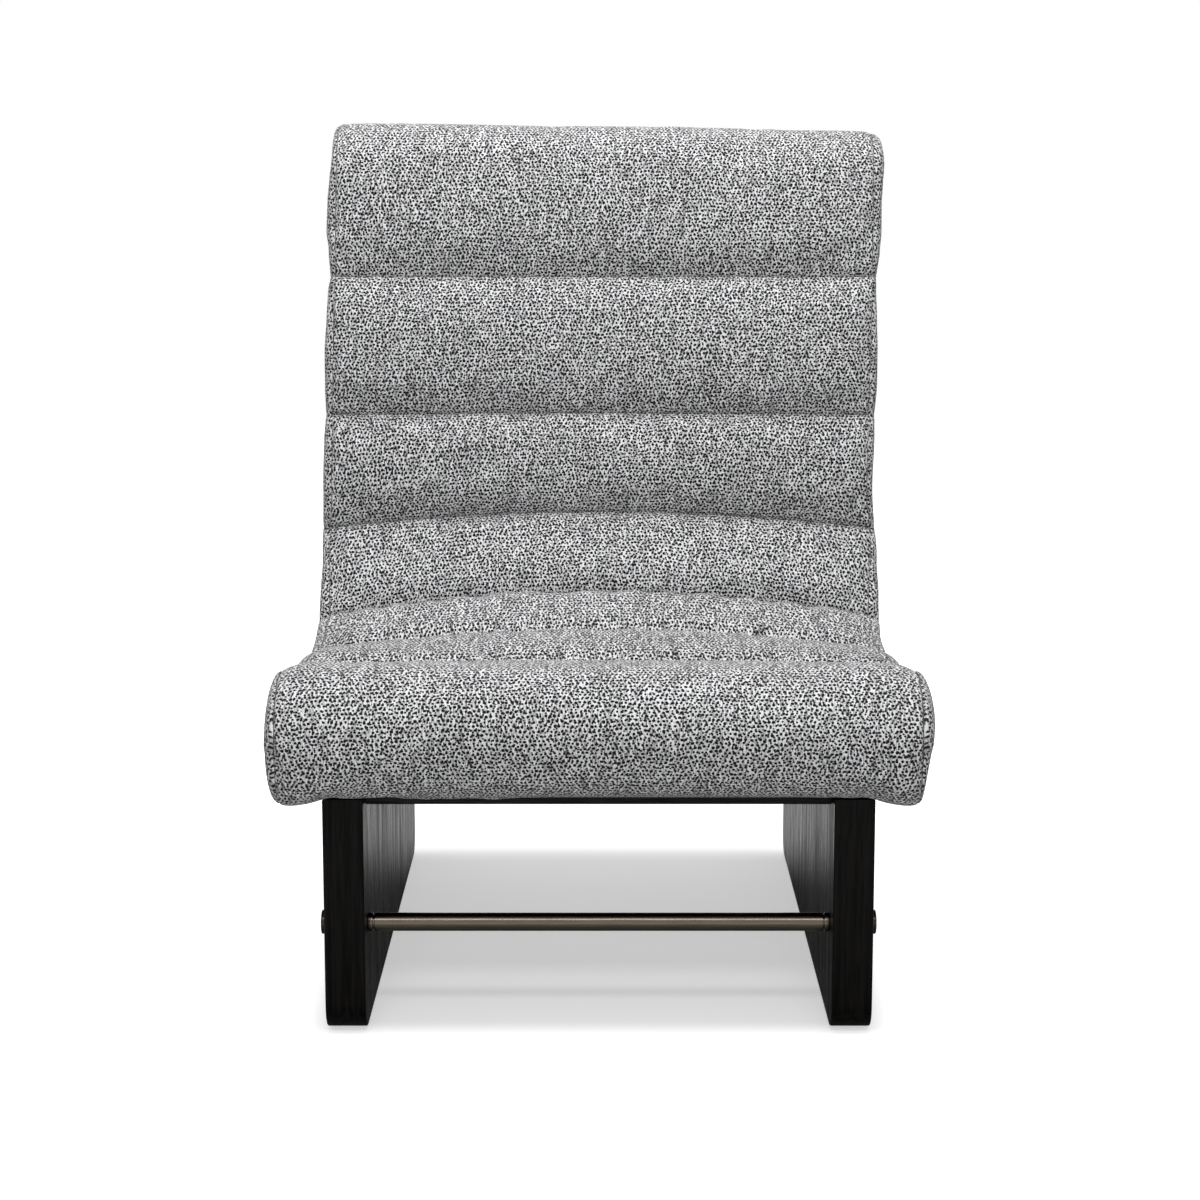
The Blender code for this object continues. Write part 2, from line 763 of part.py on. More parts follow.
def leg_outline():
    rest = OUTSIDE - GAP
    cradle_end = stop_at_height(LEG_REAR_TOP, rest)
    cradle_stops = [BOARD_START, *(s for s in BODY_STOPS if BOARD_START < s < cradle_end), cradle_end]
    cradle = [tuple(board(s, 0.0, rest).yz) for s in cradle_stops]
    shoulder = cradle[0][1] - ROLL_RELIEF_DROP
    low = LEG_BOTTOM + LEG_CORNER
    outline = arc(LEG_FRONT + LEG_CORNER, low, LEG_CORNER, 270, 180)
    outline += [(LEG_FRONT, shoulder), (cradle[0][0] - ROLL_RELIEF / 2, shoulder)]
    outline += cradle
    outline += arc(LEG_REAR - LEG_CORNER, LEG_REAR_TOP - LEG_CORNER, LEG_CORNER, 90, 0)
    outline += arc(LEG_REAR - LEG_CORNER, low, LEG_CORNER, 0, -90)
    return outline


LEG_CENTRE = LEG_INNER + LEG_THICKNESS / 2
legs = {}
for side, sign in SIDES.items():
    leg_mesh = outline_plate("leg_slab", leg_outline(), LEG_THICKNESS)
    leg = add(f"{side}_leg_slab", leg_mesh, BLACK_WOOD, LEG_FRAME)
    leg.location.x = sign * LEG_CENTRE
    bevelled(leg, LEG_EDGE)
    legs[side] = leg

# Seat board between the slabs, along the straight run of the underside
BOARD_LENGTH = BOARD_END - BOARD_START
BOARD_LEVEL = OUTSIDE - GAP - BOARD_THICKNESS / 2
BOARD_FLOOR = OUTSIDE - GAP - BOARD_THICKNESS
board_mesh = box("seat_board", (2 * (LEG_INNER - GAP), BOARD_LENGTH, BOARD_THICKNESS))
seat_board = add("seat_board", board_mesh, BLACK_WOOD, LEG_FRAME)
seat_board.matrix_world = place_on_path((BOARD_START + BOARD_END) / 2, 0.0, BOARD_LEVEL)
bevelled(seat_board, BOARD_EDGE)

# Dowels that join the board to the slabs, glued in blind holes
ALONG_X = Matrix.Rotation(math.pi / 2, 4, "Y")
dowel_stops = {"front": BOARD_START + DOWEL_MARGIN, "rear": BOARD_END - DOWEL_MARGIN}
dowel_places = {
    f"{end}_{side}": place_on_path(s, sign * LEG_INNER, BOARD_LEVEL) @ ALONG_X
    for end, s in dowel_stops.items()
    for side, sign in SIDES.items()
}
dowel = cylinder("dowel", DOWEL_RADIUS, -DOWEL_LENGTH / 2, DOWEL_LENGTH / 2)
add_each("board_dowel", dowel, dowel_places, BEECH, LEG_FRAME)
dowel_hole = cylinder("dowel_hole", DOWEL_RADIUS + GAP, -DOWEL_LENGTH / 2 - GAP, DOWEL_LENGTH / 2 + GAP)
dowel_holes = gathered("dowel_holes", dowel_hole, dowel_places.values())
cut(seat_board, "dowel_holes_in_board", dowel_holes)
for side, leg in legs.items():
    cut(leg, f"dowel_holes_in_{side}_slab", dowel_holes)

# Stretcher rods, a front and a rear one, bored at both ends for their bolts
ROD_HALF = LEG_INNER - GAP
ROD_SHOULDER = ROD_HALF - COLLAR_LENGTH - COLLAR_GROOVE
BORE_RADIUS = BOLT_RADIUS + SHANK_PLAY
BORE_FLOOR = ROD_HALF - BORE_DEPTH
rod_end = [
    (0.0, BORE_FLOOR),
    (BORE_RADIUS, BORE_FLOOR),
    (BORE_RADIUS, ROD_HALF),
    (SPIGOT_RADIUS, ROD_HALF),
    (SPIGOT_RADIUS, ROD_SHOULDER),
    (ROD_RADIUS - ROD_CHAMFER, ROD_SHOULDER),
    (ROD_RADIUS, ROD_SHOULDER - ROD_CHAMFER),
]
rod_mesh = turned("rod", rod_end + [(radius, -z) for radius, z in reversed(rod_end)], ROD_FACETS)
rod_depths = {"front": LEG_FRONT + ROD_INSET, "rear": LEG_REAR - ROD_INSET}
for place, y in rod_depths.items():
    rod = add(f"{place}_stretcher_rod", rod_mesh.copy(), BRONZE, LEG_FRAME)
    rod.location = (0.0, y, ROD_HEIGHT)
    rod.rotation_euler = (0.0, math.pi / 2, 0.0)


def rod_end_frame(sign, y):
    """Where a rod meets a slab, with Z pointing outwards through the slab."""
    outwards = Matrix.Rotation(sign * math.pi / 2, 4, "Y")
    return Matrix.Translation((sign * LEG_INNER, y, ROD_HEIGHT)) @ outwards


rod_end_frames = {
    f"{end}_{side}": rod_end_frame(sign, y) for end, y in rod_depths.items() for side, sign in SIDES.items()
}
collar = ring(
    "collar",
    [
        (COLLAR_RADIUS - ROD_CHAMFER, -GAP),
        (COLLAR_RADIUS, -GAP - ROD_CHAMFER),
        (COLLAR_RADIUS, ROD_CHAMFER - COLLAR_LENGTH),
        (COLLAR_RADIUS - ROD_CHAMFER, -COLLAR_LENGTH),
        (SPIGOT_RADIUS + GAP, -COLLAR_LENGTH),
        (SPIGOT_RADIUS + GAP, -GAP),
    ],
    ROD_FACETS,
)
add_each("stretcher_collar", collar, rod_end_frames, BRONZE, LEG_FRAME)

# Stretcher bolts, through the slabs into the rods, with low domed heads outside
dome = [math.radians(90.0 * i / CORNER_FACETS) for i in range(CORNER_FACETS + 1)]
dome_base = LEG_THICKNESS + GAP + BOLT_HEAD_RIM
dome_rise = BOLT_HEAD_HEIGHT - BOLT_HEAD_RIM
bolt_profile = [(BOLT_HEAD_RADIUS * math.sin(a), dome_base + dome_rise * math.cos(a)) for a in dome]
bolt_profile += [
    (BOLT_HEAD_RADIUS, LEG_THICKNESS + GAP),
    (BOLT_RADIUS, LEG_THICKNESS + GAP),
    (BOLT_RADIUS, -BOLT_LENGTH_IN_ROD),
    (0.0, -BOLT_LENGTH_IN_ROD),
]
bolt = turned("stretcher_bolt", bolt_profile, ROD_FACETS)
add_each("stretcher_bolt", bolt, rod_end_frames, BRONZE, LEG_FRAME)
bolt_hole = cylinder("bolt_hole", BORE_RADIUS, -LEG_EDGE, LEG_THICKNESS + LEG_EDGE)
bolt_holes = gathered("bolt_holes", bolt_hole, rod_end_frames.values())
for side, leg in legs.items():
    cut(leg, f"bolt_holes_in_{side}_slab", bolt_holes)

# Nail-on glides, two under each slab
glide = turned(
    "glide",
    [
        (0.0, GLIDE_THICKNESS + GLIDE_PIN),
        (GLIDE_PIN_RADIUS, GLIDE_THICKNESS + GLIDE_PIN),
        (GLIDE_PIN_RADIUS, GLIDE_THICKNESS),
        (GLIDE_RADIUS, GLIDE_THICKNESS),
        (GLIDE_RADIUS, ROD_CHAMFER),
        (GLIDE_RADIUS - ROD_CHAMFER, 0.0),
        (0.0, 0.0),
    ],
    ROD_FACETS,
)
glide_depths = {"front": LEG_FRONT + GLIDE_INSET, "rear": LEG_REAR - GLIDE_INSET}
glide_places = {
    f"{end}_{side}": Matrix.Translation((sign * LEG_CENTRE, y, 0.0))
    for end, y in glide_depths.items()
    for side, sign in SIDES.items()
}
add_each("glide", glide, glide_places, NYLON, LEG_FRAME)
pin_hole = cylinder("pin_hole", GLIDE_PIN_RADIUS + GAP, 0.0, GLIDE_THICKNESS + GLIDE_PIN + GAP)
pin_holes = gathered("pin_holes", pin_hole, glide_places.values())
for side, leg in legs.items():
    cut(leg, f"pin_holes_in_{side}_slab", pin_holes)

# Seat bolts, up through the board and the underside into tee nuts on the two seat rails
seat_bolt_stops = {"front": NOSE_END + FRONT_SEAT_RAIL, "rear": NOSE_END + REAR_SEAT_RAIL}
seat_bolt_length = RAIL_TOP - BOARD_FLOOR + GAP + TEE_FLANGE + SEAT_BOLT_PROUD


def seat_bolt_frames(level):
    return {
        f"{end}_{side}": place_on_path(s, sign * SEAT_BOLT_SPREAD / 2, level)
        for end, s in seat_bolt_stops.items()
        for side, sign in SIDES.items()
    }


seat_bolt = turned(
    "seat_bolt",
    [
        (0.0, seat_bolt_length),
        (SEAT_BOLT_RADIUS, seat_bolt_length),
        (SEAT_BOLT_RADIUS, -GAP),
        (SEAT_BOLT_HEAD_RADIUS, -GAP),
        (SEAT_BOLT_HEAD_RADIUS, ROD_CHAMFER - SEAT_BOLT_HEAD),
        (SEAT_BOLT_HEAD_RADIUS - ROD_CHAMFER, -SEAT_BOLT_HEAD),
        (0.0, -SEAT_BOLT_HEAD),
    ],
    FASTENER_FACETS,
)
add_each("seat_bolt", seat_bolt, seat_bolt_frames(BOARD_FLOOR), ZINC, LEG_FRAME)
tee_bore = SEAT_BOLT_RADIUS + GAP
tee_nut = ring(
    "tee_nut",
    [
        (TEE_FLANGE_RADIUS, GAP + TEE_FLANGE),
        (TEE_FLANGE_RADIUS, GAP),
        (TEE_BARREL_RADIUS, GAP),
        (TEE_BARREL_RADIUS, -TEE_BARREL),
        (tee_bore, -TEE_BARREL),
        (tee_bore, GAP + TEE_FLANGE),
    ],
    FASTENER_FACETS,
)
add_each("tee_nut", tee_nut, seat_bolt_frames(RAIL_TOP), ZINC, SEAT_BODY)

shank_hole = cylinder("shank_hole", SEAT_BOLT_RADIUS + SHANK_PLAY, -SEAT_BOLT_HEAD, seat_bolt_length)
shank_holes = gathered("shank_holes", shank_hole, seat_bolt_frames(BOARD_FLOOR).values())
for drilled in (seat_board, dust_cover, outer_layers["outer_padding"], outer_layers["outer_panel"]):
    cut(drilled, f"bolt_holes_in_{drilled.name}", shank_holes)
barrel_hole = cylinder("barrel_hole", TEE_BARREL_RADIUS + GAP, -RAIL_DEPTH - TEE_FLANGE, TEE_FLANGE)
barrel_holes = gathered("barrel_holes", barrel_hole, seat_bolt_frames(RAIL_TOP).values())
for drilled in (front_rail, rear_rail):
    cut(drilled, f"barrel_holes_in_{drilled.name}", barrel_holes)
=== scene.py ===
"""Looks of an armless occasional chair: a channelled S-shaped seat on black slab legs tied by bronze rods.

Metres, +Z up, the chair faces -Y and stands on Z = 0, as in the CAD model it is built around.
"""
import math

import bmesh
import bpy
from mathutils import Matrix, Vector, noise


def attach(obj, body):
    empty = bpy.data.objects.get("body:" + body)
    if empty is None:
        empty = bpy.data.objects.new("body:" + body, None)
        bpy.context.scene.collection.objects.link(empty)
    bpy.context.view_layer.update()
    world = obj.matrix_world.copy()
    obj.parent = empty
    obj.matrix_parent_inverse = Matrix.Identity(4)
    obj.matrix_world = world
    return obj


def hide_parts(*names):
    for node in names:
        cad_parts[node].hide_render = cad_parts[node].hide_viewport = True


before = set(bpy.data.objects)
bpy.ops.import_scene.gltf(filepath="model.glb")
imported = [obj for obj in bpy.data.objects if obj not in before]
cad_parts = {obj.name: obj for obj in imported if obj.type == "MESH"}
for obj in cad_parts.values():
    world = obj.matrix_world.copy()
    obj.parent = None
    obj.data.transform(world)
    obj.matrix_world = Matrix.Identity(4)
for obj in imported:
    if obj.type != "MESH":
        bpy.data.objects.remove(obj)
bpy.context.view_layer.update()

# Frame inside the seat
# Two ribs sawn from birch plywood follow the seat's S, with beech battens glued and screwed between them. They
# are hidden by the upholstery.


def new_node(tree, kind, settings=None, **sockets):
    """A shader node, with its settings and with each named socket given a value or a link."""
    made = tree.nodes.new("ShaderNode" + kind)
    for name, value in (settings or {}).items():
        setattr(made, name, value)
    for name, value in sockets.items():
        fill_socket(tree, made.inputs[name.replace("_", " ")], value)
    return made


def fill_socket(tree, socket, value):
    """Links a socket to another one, or sets its value."""
    if isinstance(value, bpy.types.NodeSocket):
        tree.links.new(value, socket)
    else:
        socket.default_value = value


def work_out(tree, operation, *values):
    """The result of one Math node."""
    made = tree.nodes.new("ShaderNodeMath")
    made.operation = operation
    for socket, value in zip(made.inputs, values):
        fill_socket(tree, socket, value)
    return made.outputs[0]


def ramp_between(tree, value, low, high):
    """0 below low, 1 above high, and smooth between them."""
    smooth = {"interpolation_type": "SMOOTHSTEP"}
    made = new_node(tree, "MapRange", smooth, Value=value, From_Min=low, From_Max=high)
    return made.outputs["Result"]


def mix_colours(tree, share, first, second):
    """The first colour at a share of 0, and the second at 1."""
    made = new_node(tree, "Mix", {"data_type": "RGBA"}, Factor=share, A=first, B=second)
    return made.outputs["Result"]


def new_group(name, inputs, outputs):
    """An empty node group with Float, Vector or Color sockets, and its two end nodes."""
    group = bpy.data.node_groups.new(name, "ShaderNodeTree")
    for way, sockets in (("INPUT", inputs), ("OUTPUT", outputs)):
        for socket, kind in sockets.items():
            group.interface.new_socket(socket, in_out=way, socket_type="NodeSocket" + kind)
    given = group.nodes.new("NodeGroupInput")
    result = group.nodes.new("NodeGroupOutput")
    return group, given.outputs, result


def new_finish(name, colour, roughness, metallic=0.0):
    """A material, its tree and its Principled shader."""
    made = bpy.data.materials.new(name)
    made.use_nodes = True
    shader = made.node_tree.nodes["Principled BSDF"]
    shader.inputs["Base Color"].default_value = (*colour, 1.0)
    shader.inputs["Roughness"].default_value = roughness
    shader.inputs["Metallic"].default_value = metallic
    made.diffuse_color = (*colour, 1.0)
    return made, made.node_tree, shader


def add_relief(tree, shader, height, distance, strength=1.0):
    """A bump from a height that changes over the surface."""
    bump = new_node(tree, "Bump", Height=height, Distance=distance, Strength=strength)
    tree.links.new(bump.outputs["Normal"], shader.inputs["Normal"])


FIBRE_STRETCH = 0.035
BROAD_SHARE = 0.6


def grain_group():
    """Masks of light streaks, fine pores and broad figure, with the fibres along Z."""
    group, given, result = new_group(
        "wood grain",
        {"Vector": "Vector", "Fineness": "Float"},
        {"Streaks": "Float", "Pores": "Float", "Figure": "Float"},
    )
    stretched = new_node(group, "Mapping", Vector=given["Vector"], Scale=(1.0, 1.0, FIBRE_STRETCH))
    scaled = new_node(group, "VectorMath", {"operation": "SCALE"}, Scale=given["Fineness"])
    group.links.new(stretched.outputs["Vector"], scaled.inputs[0])
    broad = new_node(group, "TexNoise", Vector=scaled.outputs["Vector"], Scale=0.22, Detail=4.0)
    fine = new_node(group, "TexNoise", Vector=scaled.outputs["Vector"], Scale=1.0, Detail=3.0)
    figure = new_node(group, "TexNoise", Vector=scaled.outputs["Vector"], Scale=0.15, Detail=3.0)
    mixed = work_out(group, "MULTIPLY", broad.outputs["Fac"], BROAD_SHARE)
    streaks = work_out(group, "MULTIPLY_ADD", fine.outputs["Fac"], 1.0 - BROAD_SHARE, mixed)
    group.links.new(streaks, result.inputs["Streaks"])
    group.links.new(ramp_between(group, fine.outputs["Fac"], 0.40, 0.52), result.inputs["Pores"])
    group.links.new(ramp_between(group, figure.outputs["Fac"], 0.38, 0.62), result.inputs["Figure"])
    return group


WOOD_GRAIN = grain_group()
PORE_SHINE = 0.12
FIGURE_SHINE = 0.18


def wood(name, dark, light, roughness, turn, fineness, gloss=0.5):
    """A wood whose grain runs along X, Y or Z of the chair, shiniest in its pores and figure."""
    made, tree, shader = new_finish(name, light, roughness)
    place = new_node(tree, "TexCoord")
    turned = new_node(tree, "Mapping", Vector=place.outputs["Object"], Rotation=turn)
    grain = new_node(tree, "Group", {"node_tree": WOOD_GRAIN}, Fineness=fineness)
    tree.links.new(turned.outputs["Vector"], grain.inputs["Vector"])
    share = ramp_between(tree, grain.outputs["Streaks"], 0.36, 0.62)
    tree.links.new(mix_colours(tree, share, (*dark, 1.0), (*light, 1.0)), shader.inputs["Base Color"])
    add_relief(tree, shader, grain.outputs["Pores"], 0.0001, 0.6)
    dullest = roughness + PORE_SHINE + FIGURE_SHINE
    rough = work_out(tree, "MULTIPLY_ADD", grain.outputs["Pores"], -PORE_SHINE, dullest)
    rough = work_out(tree, "MULTIPLY_ADD", grain.outputs["Figure"], -FIGURE_SHINE, rough)
    tree.links.new(rough, shader.inputs["Roughness"])
    shader.inputs["Specular IOR Level"].default_value = gloss
    return made


UPRIGHT = (0.0, 0.0, 0.0)
CROSSWAYS = (0.0, math.pi / 2, 0.0)
BIRCH_PLYWOOD = wood("birch plywood", (0.42, 0.28, 0.15), (0.68, 0.52, 0.34), 0.55, UPRIGHT, 500.0)
BEECH = wood("beech", (0.45, 0.29, 0.16), (0.64, 0.45, 0.28), 0.50, CROSSWAYS, 700.0)


def give_finish(made, *nodes):
    """Puts a material on CAD nodes that stay as they are."""
    for name in nodes:
        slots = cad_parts[name].data.materials
        slots.clear()
        slots.append(made)


give_finish(BIRCH_PLYWOOD, "left_rib", "right_rib", "outer_panel")
give_finish(BEECH, "nose_rail", "front_seat_rail", "rear_seat_rail", "back_rail", "top_rail")

# Springs and fillings inside the seat
# Elastic webbing stapled across the ribs, a slab of cream foam on it, and rounded foams at the knee and the top.
# White fibre lines the outside of the plywood shell.


def speckled(name, dark, light, scale, roughness, depth):
    """A soft material with small cells or fibres."""
    made, tree, shader = new_finish(name, light, roughness)
    place = new_node(tree, "TexCoord")
    cells = new_node(tree, "TexNoise", Vector=place.outputs["Object"], Scale=scale, Detail=5.0)
    share = ramp_between(tree, cells.outputs["Fac"], 0.35, 0.62)
    tree.links.new(mix_colours(tree, share, (*dark, 1.0), (*light, 1.0)), shader.inputs["Base Color"])
    add_relief(tree, shader, cells.outputs["Fac"], depth)
    return made


CREAM_FOAM = speckled("cream foam", (0.66, 0.60, 0.44), (0.80, 0.76, 0.62), 900.0, 0.95, 0.0004)
WHITE_FIBRE = speckled("white fibre", (0.66, 0.66, 0.64), (0.86, 0.86, 0.84), 260.0, 0.95, 0.001)
BROWN_WEBBING = speckled("brown webbing", (0.10, 0.06, 0.035), (0.26, 0.17, 0.10), 700.0, 0.85, 0.0004)
give_finish(CREAM_FOAM, "foam_core", "nose_foam", "top_foam")
give_finish(WHITE_FIBRE, "outer_padding")
for place in ("front_seat", "middle_seat", "rear_seat", "lumbar", "lower_back", "upper_back"):
    give_finish(BROWN_WEBBING, f"{place}_strap")

# Channelled seat cushion
# One length of coarse black and light grey hopsack over fibre wadding, stitched down in channels across the seat
# and the back, and pulled over the knee roll and the top edge.
BODY_THICKNESS = 0.104
SEAT_PITCH = math.radians(6.0)
SEAT_RUN = 0.372
LUMBAR_RADIUS = 0.150
LOWER_LEAN = math.radians(5.0)
UPPER_LEAN = math.radians(14.5)
BACK_RUN = 0.428
UNDER_WRAP = 0.060
REAR_WRAP = 0.030
END_RADIUS = BODY_THICKNESS / 2
HALF_WIDTH = 0.330
RIB_FACE = 0.3207
NOSE_CENTRE = Vector((-0.328, 0.3058))


def body_runs():
    """The seat's line from under the knee roll to behind the back: straight runs and arcs, end to end."""
    back_turn = UPPER_LEAN - LOWER_LEAN
    tail_turn = REAR_WRAP * back_turn / BACK_RUN
    lumbar_turn = math.pi / 2 - LOWER_LEAN + SEAT_PITCH
    heading = math.pi - SEAT_PITCH
    outward = Vector((-math.sin(heading), math.cos(heading)))
    forward = Vector((math.cos(heading), math.sin(heading)))
    start = NOSE_CENTRE + outward * END_RADIUS - forward * UNDER_WRAP
    runs = []
    at = 0.0
    for name, length, turn in (
        ("under", UNDER_WRAP, 0.0),
        ("nose", math.pi * END_RADIUS, -math.pi),
        ("seat", SEAT_RUN, 0.0),
        ("lumbar", LUMBAR_RADIUS * lumbar_turn, lumbar_turn),
        ("back", BACK_RUN, -back_turn),
        ("top", math.pi * END_RADIUS, -math.pi),
        ("rear", REAR_WRAP - tail_turn * BODY_THICKNESS, tail_turn),
    ):
        runs.append((name, at, length, turn, start, heading))
        start, heading = run_end(start, heading, length, turn, length)
        at += length
    return runs


def run_end(start, heading, length, turn, along):
    """Where a run has got to after a length of it, and its heading there."""
    if turn == 0.0:
        return start + Vector((math.cos(heading), math.sin(heading))) * along, heading
    radius = length / turn
    now = heading + along / radius
    moved = Vector((math.sin(now) - math.sin(heading), math.cos(heading) - math.cos(now)))
    return start + moved * radius, now


RUNS = body_runs()
RUN_START = {name: at for name, at, *_ in RUNS}
RUN_END = {name: at + length for name, at, length, *_ in RUNS}


def on_line(s, height=0.0):
    """A point (Y, Z) at a length along the seat's line and a height out from it, and the way out."""
    _, at, length, turn, start, heading = [run for run in RUNS if run[1] <= s + 1e-6][-1]
    point, heading = run_end(start, heading, length, turn, s - at)
    outward = Vector((-math.sin(heading), math.cos(heading)))
    return point + outward * height, outward


CLOTH_HALF_WIDTH = RIB_FACE
LINING_DEPTH = 0.016
CREST_ROUNDNESS = 2.4
ROLL_RADIUS = 0.066
ROLL_CENTRE = Vector((-0.324, 0.3178))
ROLL_BELLY = 0.0045
ROLL_SEAM = 0.27885
CHANNELS = (
    # length along the line, height of its crest, and how squarely it rises from its seam in front
    (0.153, 0.0150, 0.55),
    (0.163, 0.0150, 0.45),
    (0.121, 0.0200, 0.34),
    (0.114, 0.0150, 0.55),
    (0.136, 0.0150, 0.58),
    (0.166, 0.0150, 0.58),
    (0.293, 0.0150, 0.58),
)
REAR_SQUARENESS = 0.58
END_SLACK = 0.30
SEAMS = [ROLL_SEAM]
for channel_length, _, _ in CHANNELS[:-1]:
    SEAMS.append(SEAMS[-1] + channel_length)
CROWN_HEIGHT = 0.029
CROWN_SEAM = SEAMS[3]
CROWN_REACH_FORWARD = (0.11, 0.34)
CROWN_REACH_UP = 0.300
# A span is where a feature along the line sets in, is full, starts to fade and is gone.
ROLL_SPAN = (0.055, 0.125, ROLL_SEAM - 0.02, ROLL_SEAM + 0.05)
EDGE_SPAN = (0.03, 0.08, RUN_END["top"] - 0.06, RUN_END["top"])
SEAT_SPAN = (0.19, 0.27, RUN_END["seat"], RUN_END["seat"] + 0.10)
DRAWN_SPAN = (0.22, 0.30, 0.66, 0.74)
ROLL_EASE = 0.013
ROLL_EASE_REACH = 0.110
ROLL_END_WIDTH = 0.026
ROLL_END_DROP = 0.008
LOBE_DROP = 0.0065
LOBE_WIDTH = (0.270, 0.300)
LOBE_PLACE = 0.075
LOBE_REACH = 0.060
EDGE_WIDTH = 0.012
EDGE_DROP = 0.0018
SEAT_EDGE_LIFT = 0.0065
STITCH_DIP = 0.0022
STITCH_REACH = 0.0045
GATHER_HEIGHT = 0.0016
GATHER_REACH = 0.030
GATHERS_ACROSS = 42.0
GATHERS_ALONG = 16.0
GATHER_SEED = 9.0
ROW_SPACING = 0.0085
SAME_PLACE = 1e-4
# How the upper back leans to the right of the photograph, dips there, and bulges at the lumbar bend
LEAN = 0.0055
RIGHT_LEAN = 0.0045
LEAN_HEIGHTS = (0.42, 0.92)
RIGHT_BULGE = 0.0055
LEFT_BULGE = 0.0025
BULGE_HEIGHT = 0.430
BULGE_REACH = 0.075
BULGE_DEPTHS = (-0.20, 0.05)
DIP = 0.0045
DIP_HEIGHTS = (0.75, 0.92)


def eased(value, low, high):
    """0 below low, 1 above high, and smooth between them."""
    share = min(max((value - low) / (high - low), 0.0), 1.0)
    return share * share * (3.0 - 2.0 * share)


def within(value, start, full, fading, end):
    """How far a value is within a span: 0 outside it, 1 where it is full."""
    return eased(value, start, full) * (1.0 - eased(value, fading, end))


def hump(value, middle, reach):
    """1 at the middle, falling smoothly to 0 at a reach on either side."""
    return math.cos(min(abs(value - middle) / reach, 1.0) * math.pi / 2) ** 2


def channel_crest(s):
    """Height of the cloth over the seat's line: a round channel between two seams, or the knee roll."""
    if s <= SEAMS[0]:
        point, outward = on_line(s)
        away = point - ROLL_CENTRE
        along = away.dot(outward)
        radius = ROLL_RADIUS
        if outward.x < 0.0 and outward.y < 0.0:
            radius += ROLL_BELLY * (2.0 * outward.x * outward.y) ** 2
        inside = along**2 - away.length_squared + radius**2
        return max(-along + math.sqrt(inside), 0.0) if inside > 0.0 else 0.0
    index = max(i for i, seam in enumerate(SEAMS) if seam <= s + 1e-9)
    if s < SEAMS[-1]:
        share = (s - SEAMS[index]) / (SEAMS[index + 1] - SEAMS[index])
    elif s <= RUN_START["top"]:
        share = (s - SEAMS[-1]) / (RUN_START["top"] - SEAMS[-1]) / 2
    else:
        share = min(0.5 + (s - RUN_START["top"]) / (RUN_END["top"] - RUN_START["top"]) / 2, 1.0)
    _, height, squareness = CHANNELS[index]
    squareness = squareness if share < 0.5 else REAR_SQUARENESS
    return height * max(1.0 - abs(2.0 * share - 1.0) ** CREST_ROUNDNESS, 0.0) ** squareness


def rounded_off(x, width, drop):
    """How far an edge has curved down, as a quarter of an ellipse."""
    share = min(max((abs(x) - CLOTH_HALF_WIDTH + width) / width, 0.0), 1.0)
    return drop * (1.0 - math.sqrt(1.0 - share**2))


def at_height(s, x, height):
    """A place over the seat's line, at a distance across from its middle."""
    point, _ = on_line(s, height)
    return Vector((x, point.x, point.y))


def set_askew(place):
    """Moves a place by the few millimetres that the sewn body leans, dips and bulges."""
    share = eased(place.z, *LEAN_HEIGHTS)
    across = place.x / HALF_WIDTH
    rightward = max(across, 0.0) ** 2
    bend = hump(place.z, BULGE_HEIGHT, BULGE_REACH) * eased(place.y, *BULGE_DEPTHS)
    place.x += LEAN * share + RIGHT_LEAN * rightward * share
    place.x += (RIGHT_BULGE * rightward - LEFT_BULGE * max(-across, 0.0) ** 2) * bend
    place.z -= DIP * across * eased(place.z, *DIP_HEIGHTS)
    return place


def on_cushion(s, x, fullness=1.0):
    """A place on the cushion's outer face."""
    across = abs(x) / CLOTH_HALF_WIDTH
    on_roll = within(s, *ROLL_SPAN)
    drop = 1.0 - END_SLACK * across**8 if s > ROLL_SEAM else 1.0
    height = channel_crest(s) * drop * fullness
    reach = ROLL_EASE_REACH if s > ROLL_SEAM else ROLL_EASE_REACH * 0.5
    height += ROLL_EASE * hump(s, ROLL_SEAM, reach) * (1.0 - across**3)
    edge_drop = EDGE_DROP * within(s, *EDGE_SPAN)
    edge_drop += (ROLL_END_DROP - EDGE_DROP) * on_roll
    height -= rounded_off(x, EDGE_WIDTH + (ROLL_END_WIDTH - EDGE_WIDTH) * on_roll, edge_drop)
    height += SEAT_EDGE_LIFT * within(s, *SEAT_SPAN) * across**6
    height += LOBE_DROP * eased(abs(x), *LOBE_WIDTH) * hump(s, LOBE_PLACE, LOBE_REACH)
    for seam in SEAMS:
        if abs(s - seam) < GATHER_REACH:
            gather = noise.noise(Vector((x * GATHERS_ACROSS, s * GATHERS_ALONG, seam * GATHER_SEED)))
            height += GATHER_HEIGHT * gather * hump(s, seam, GATHER_REACH)
            height -= STITCH_DIP * hump(s, seam, STITCH_REACH) * (seam != ROLL_SEAM)
    place = at_height(s, x, height)
    crown = 1.0 - eased(CROWN_SEAM - s, *CROWN_REACH_FORWARD)
    if s > CROWN_SEAM:
        crown = hump(s, CROWN_SEAM, CROWN_REACH_UP)
    place.z += CROWN_HEIGHT * crown * (1.0 - across**2)
    return set_askew(place)


def even_rows(breaks, spacing):
    """Values from the first break to the last, evenly spaced between breaks that each get a row."""
    rows = [breaks[0]]
    for start, end in zip(breaks, breaks[1:]):
        count = max(1, round((end - start) / spacing))
        rows += [start + (end - start) * i / count for i in range(1, count + 1)]
    return rows


def as_object(name, bm):
    """The object of a finished bmesh, put in the scene."""
    mesh = bpy.data.meshes.new(name)
    bm.to_mesh(mesh)
    bm.free()
    made = bpy.data.objects.new(name, mesh)
    bpy.context.scene.collection.objects.link(made)
    return made


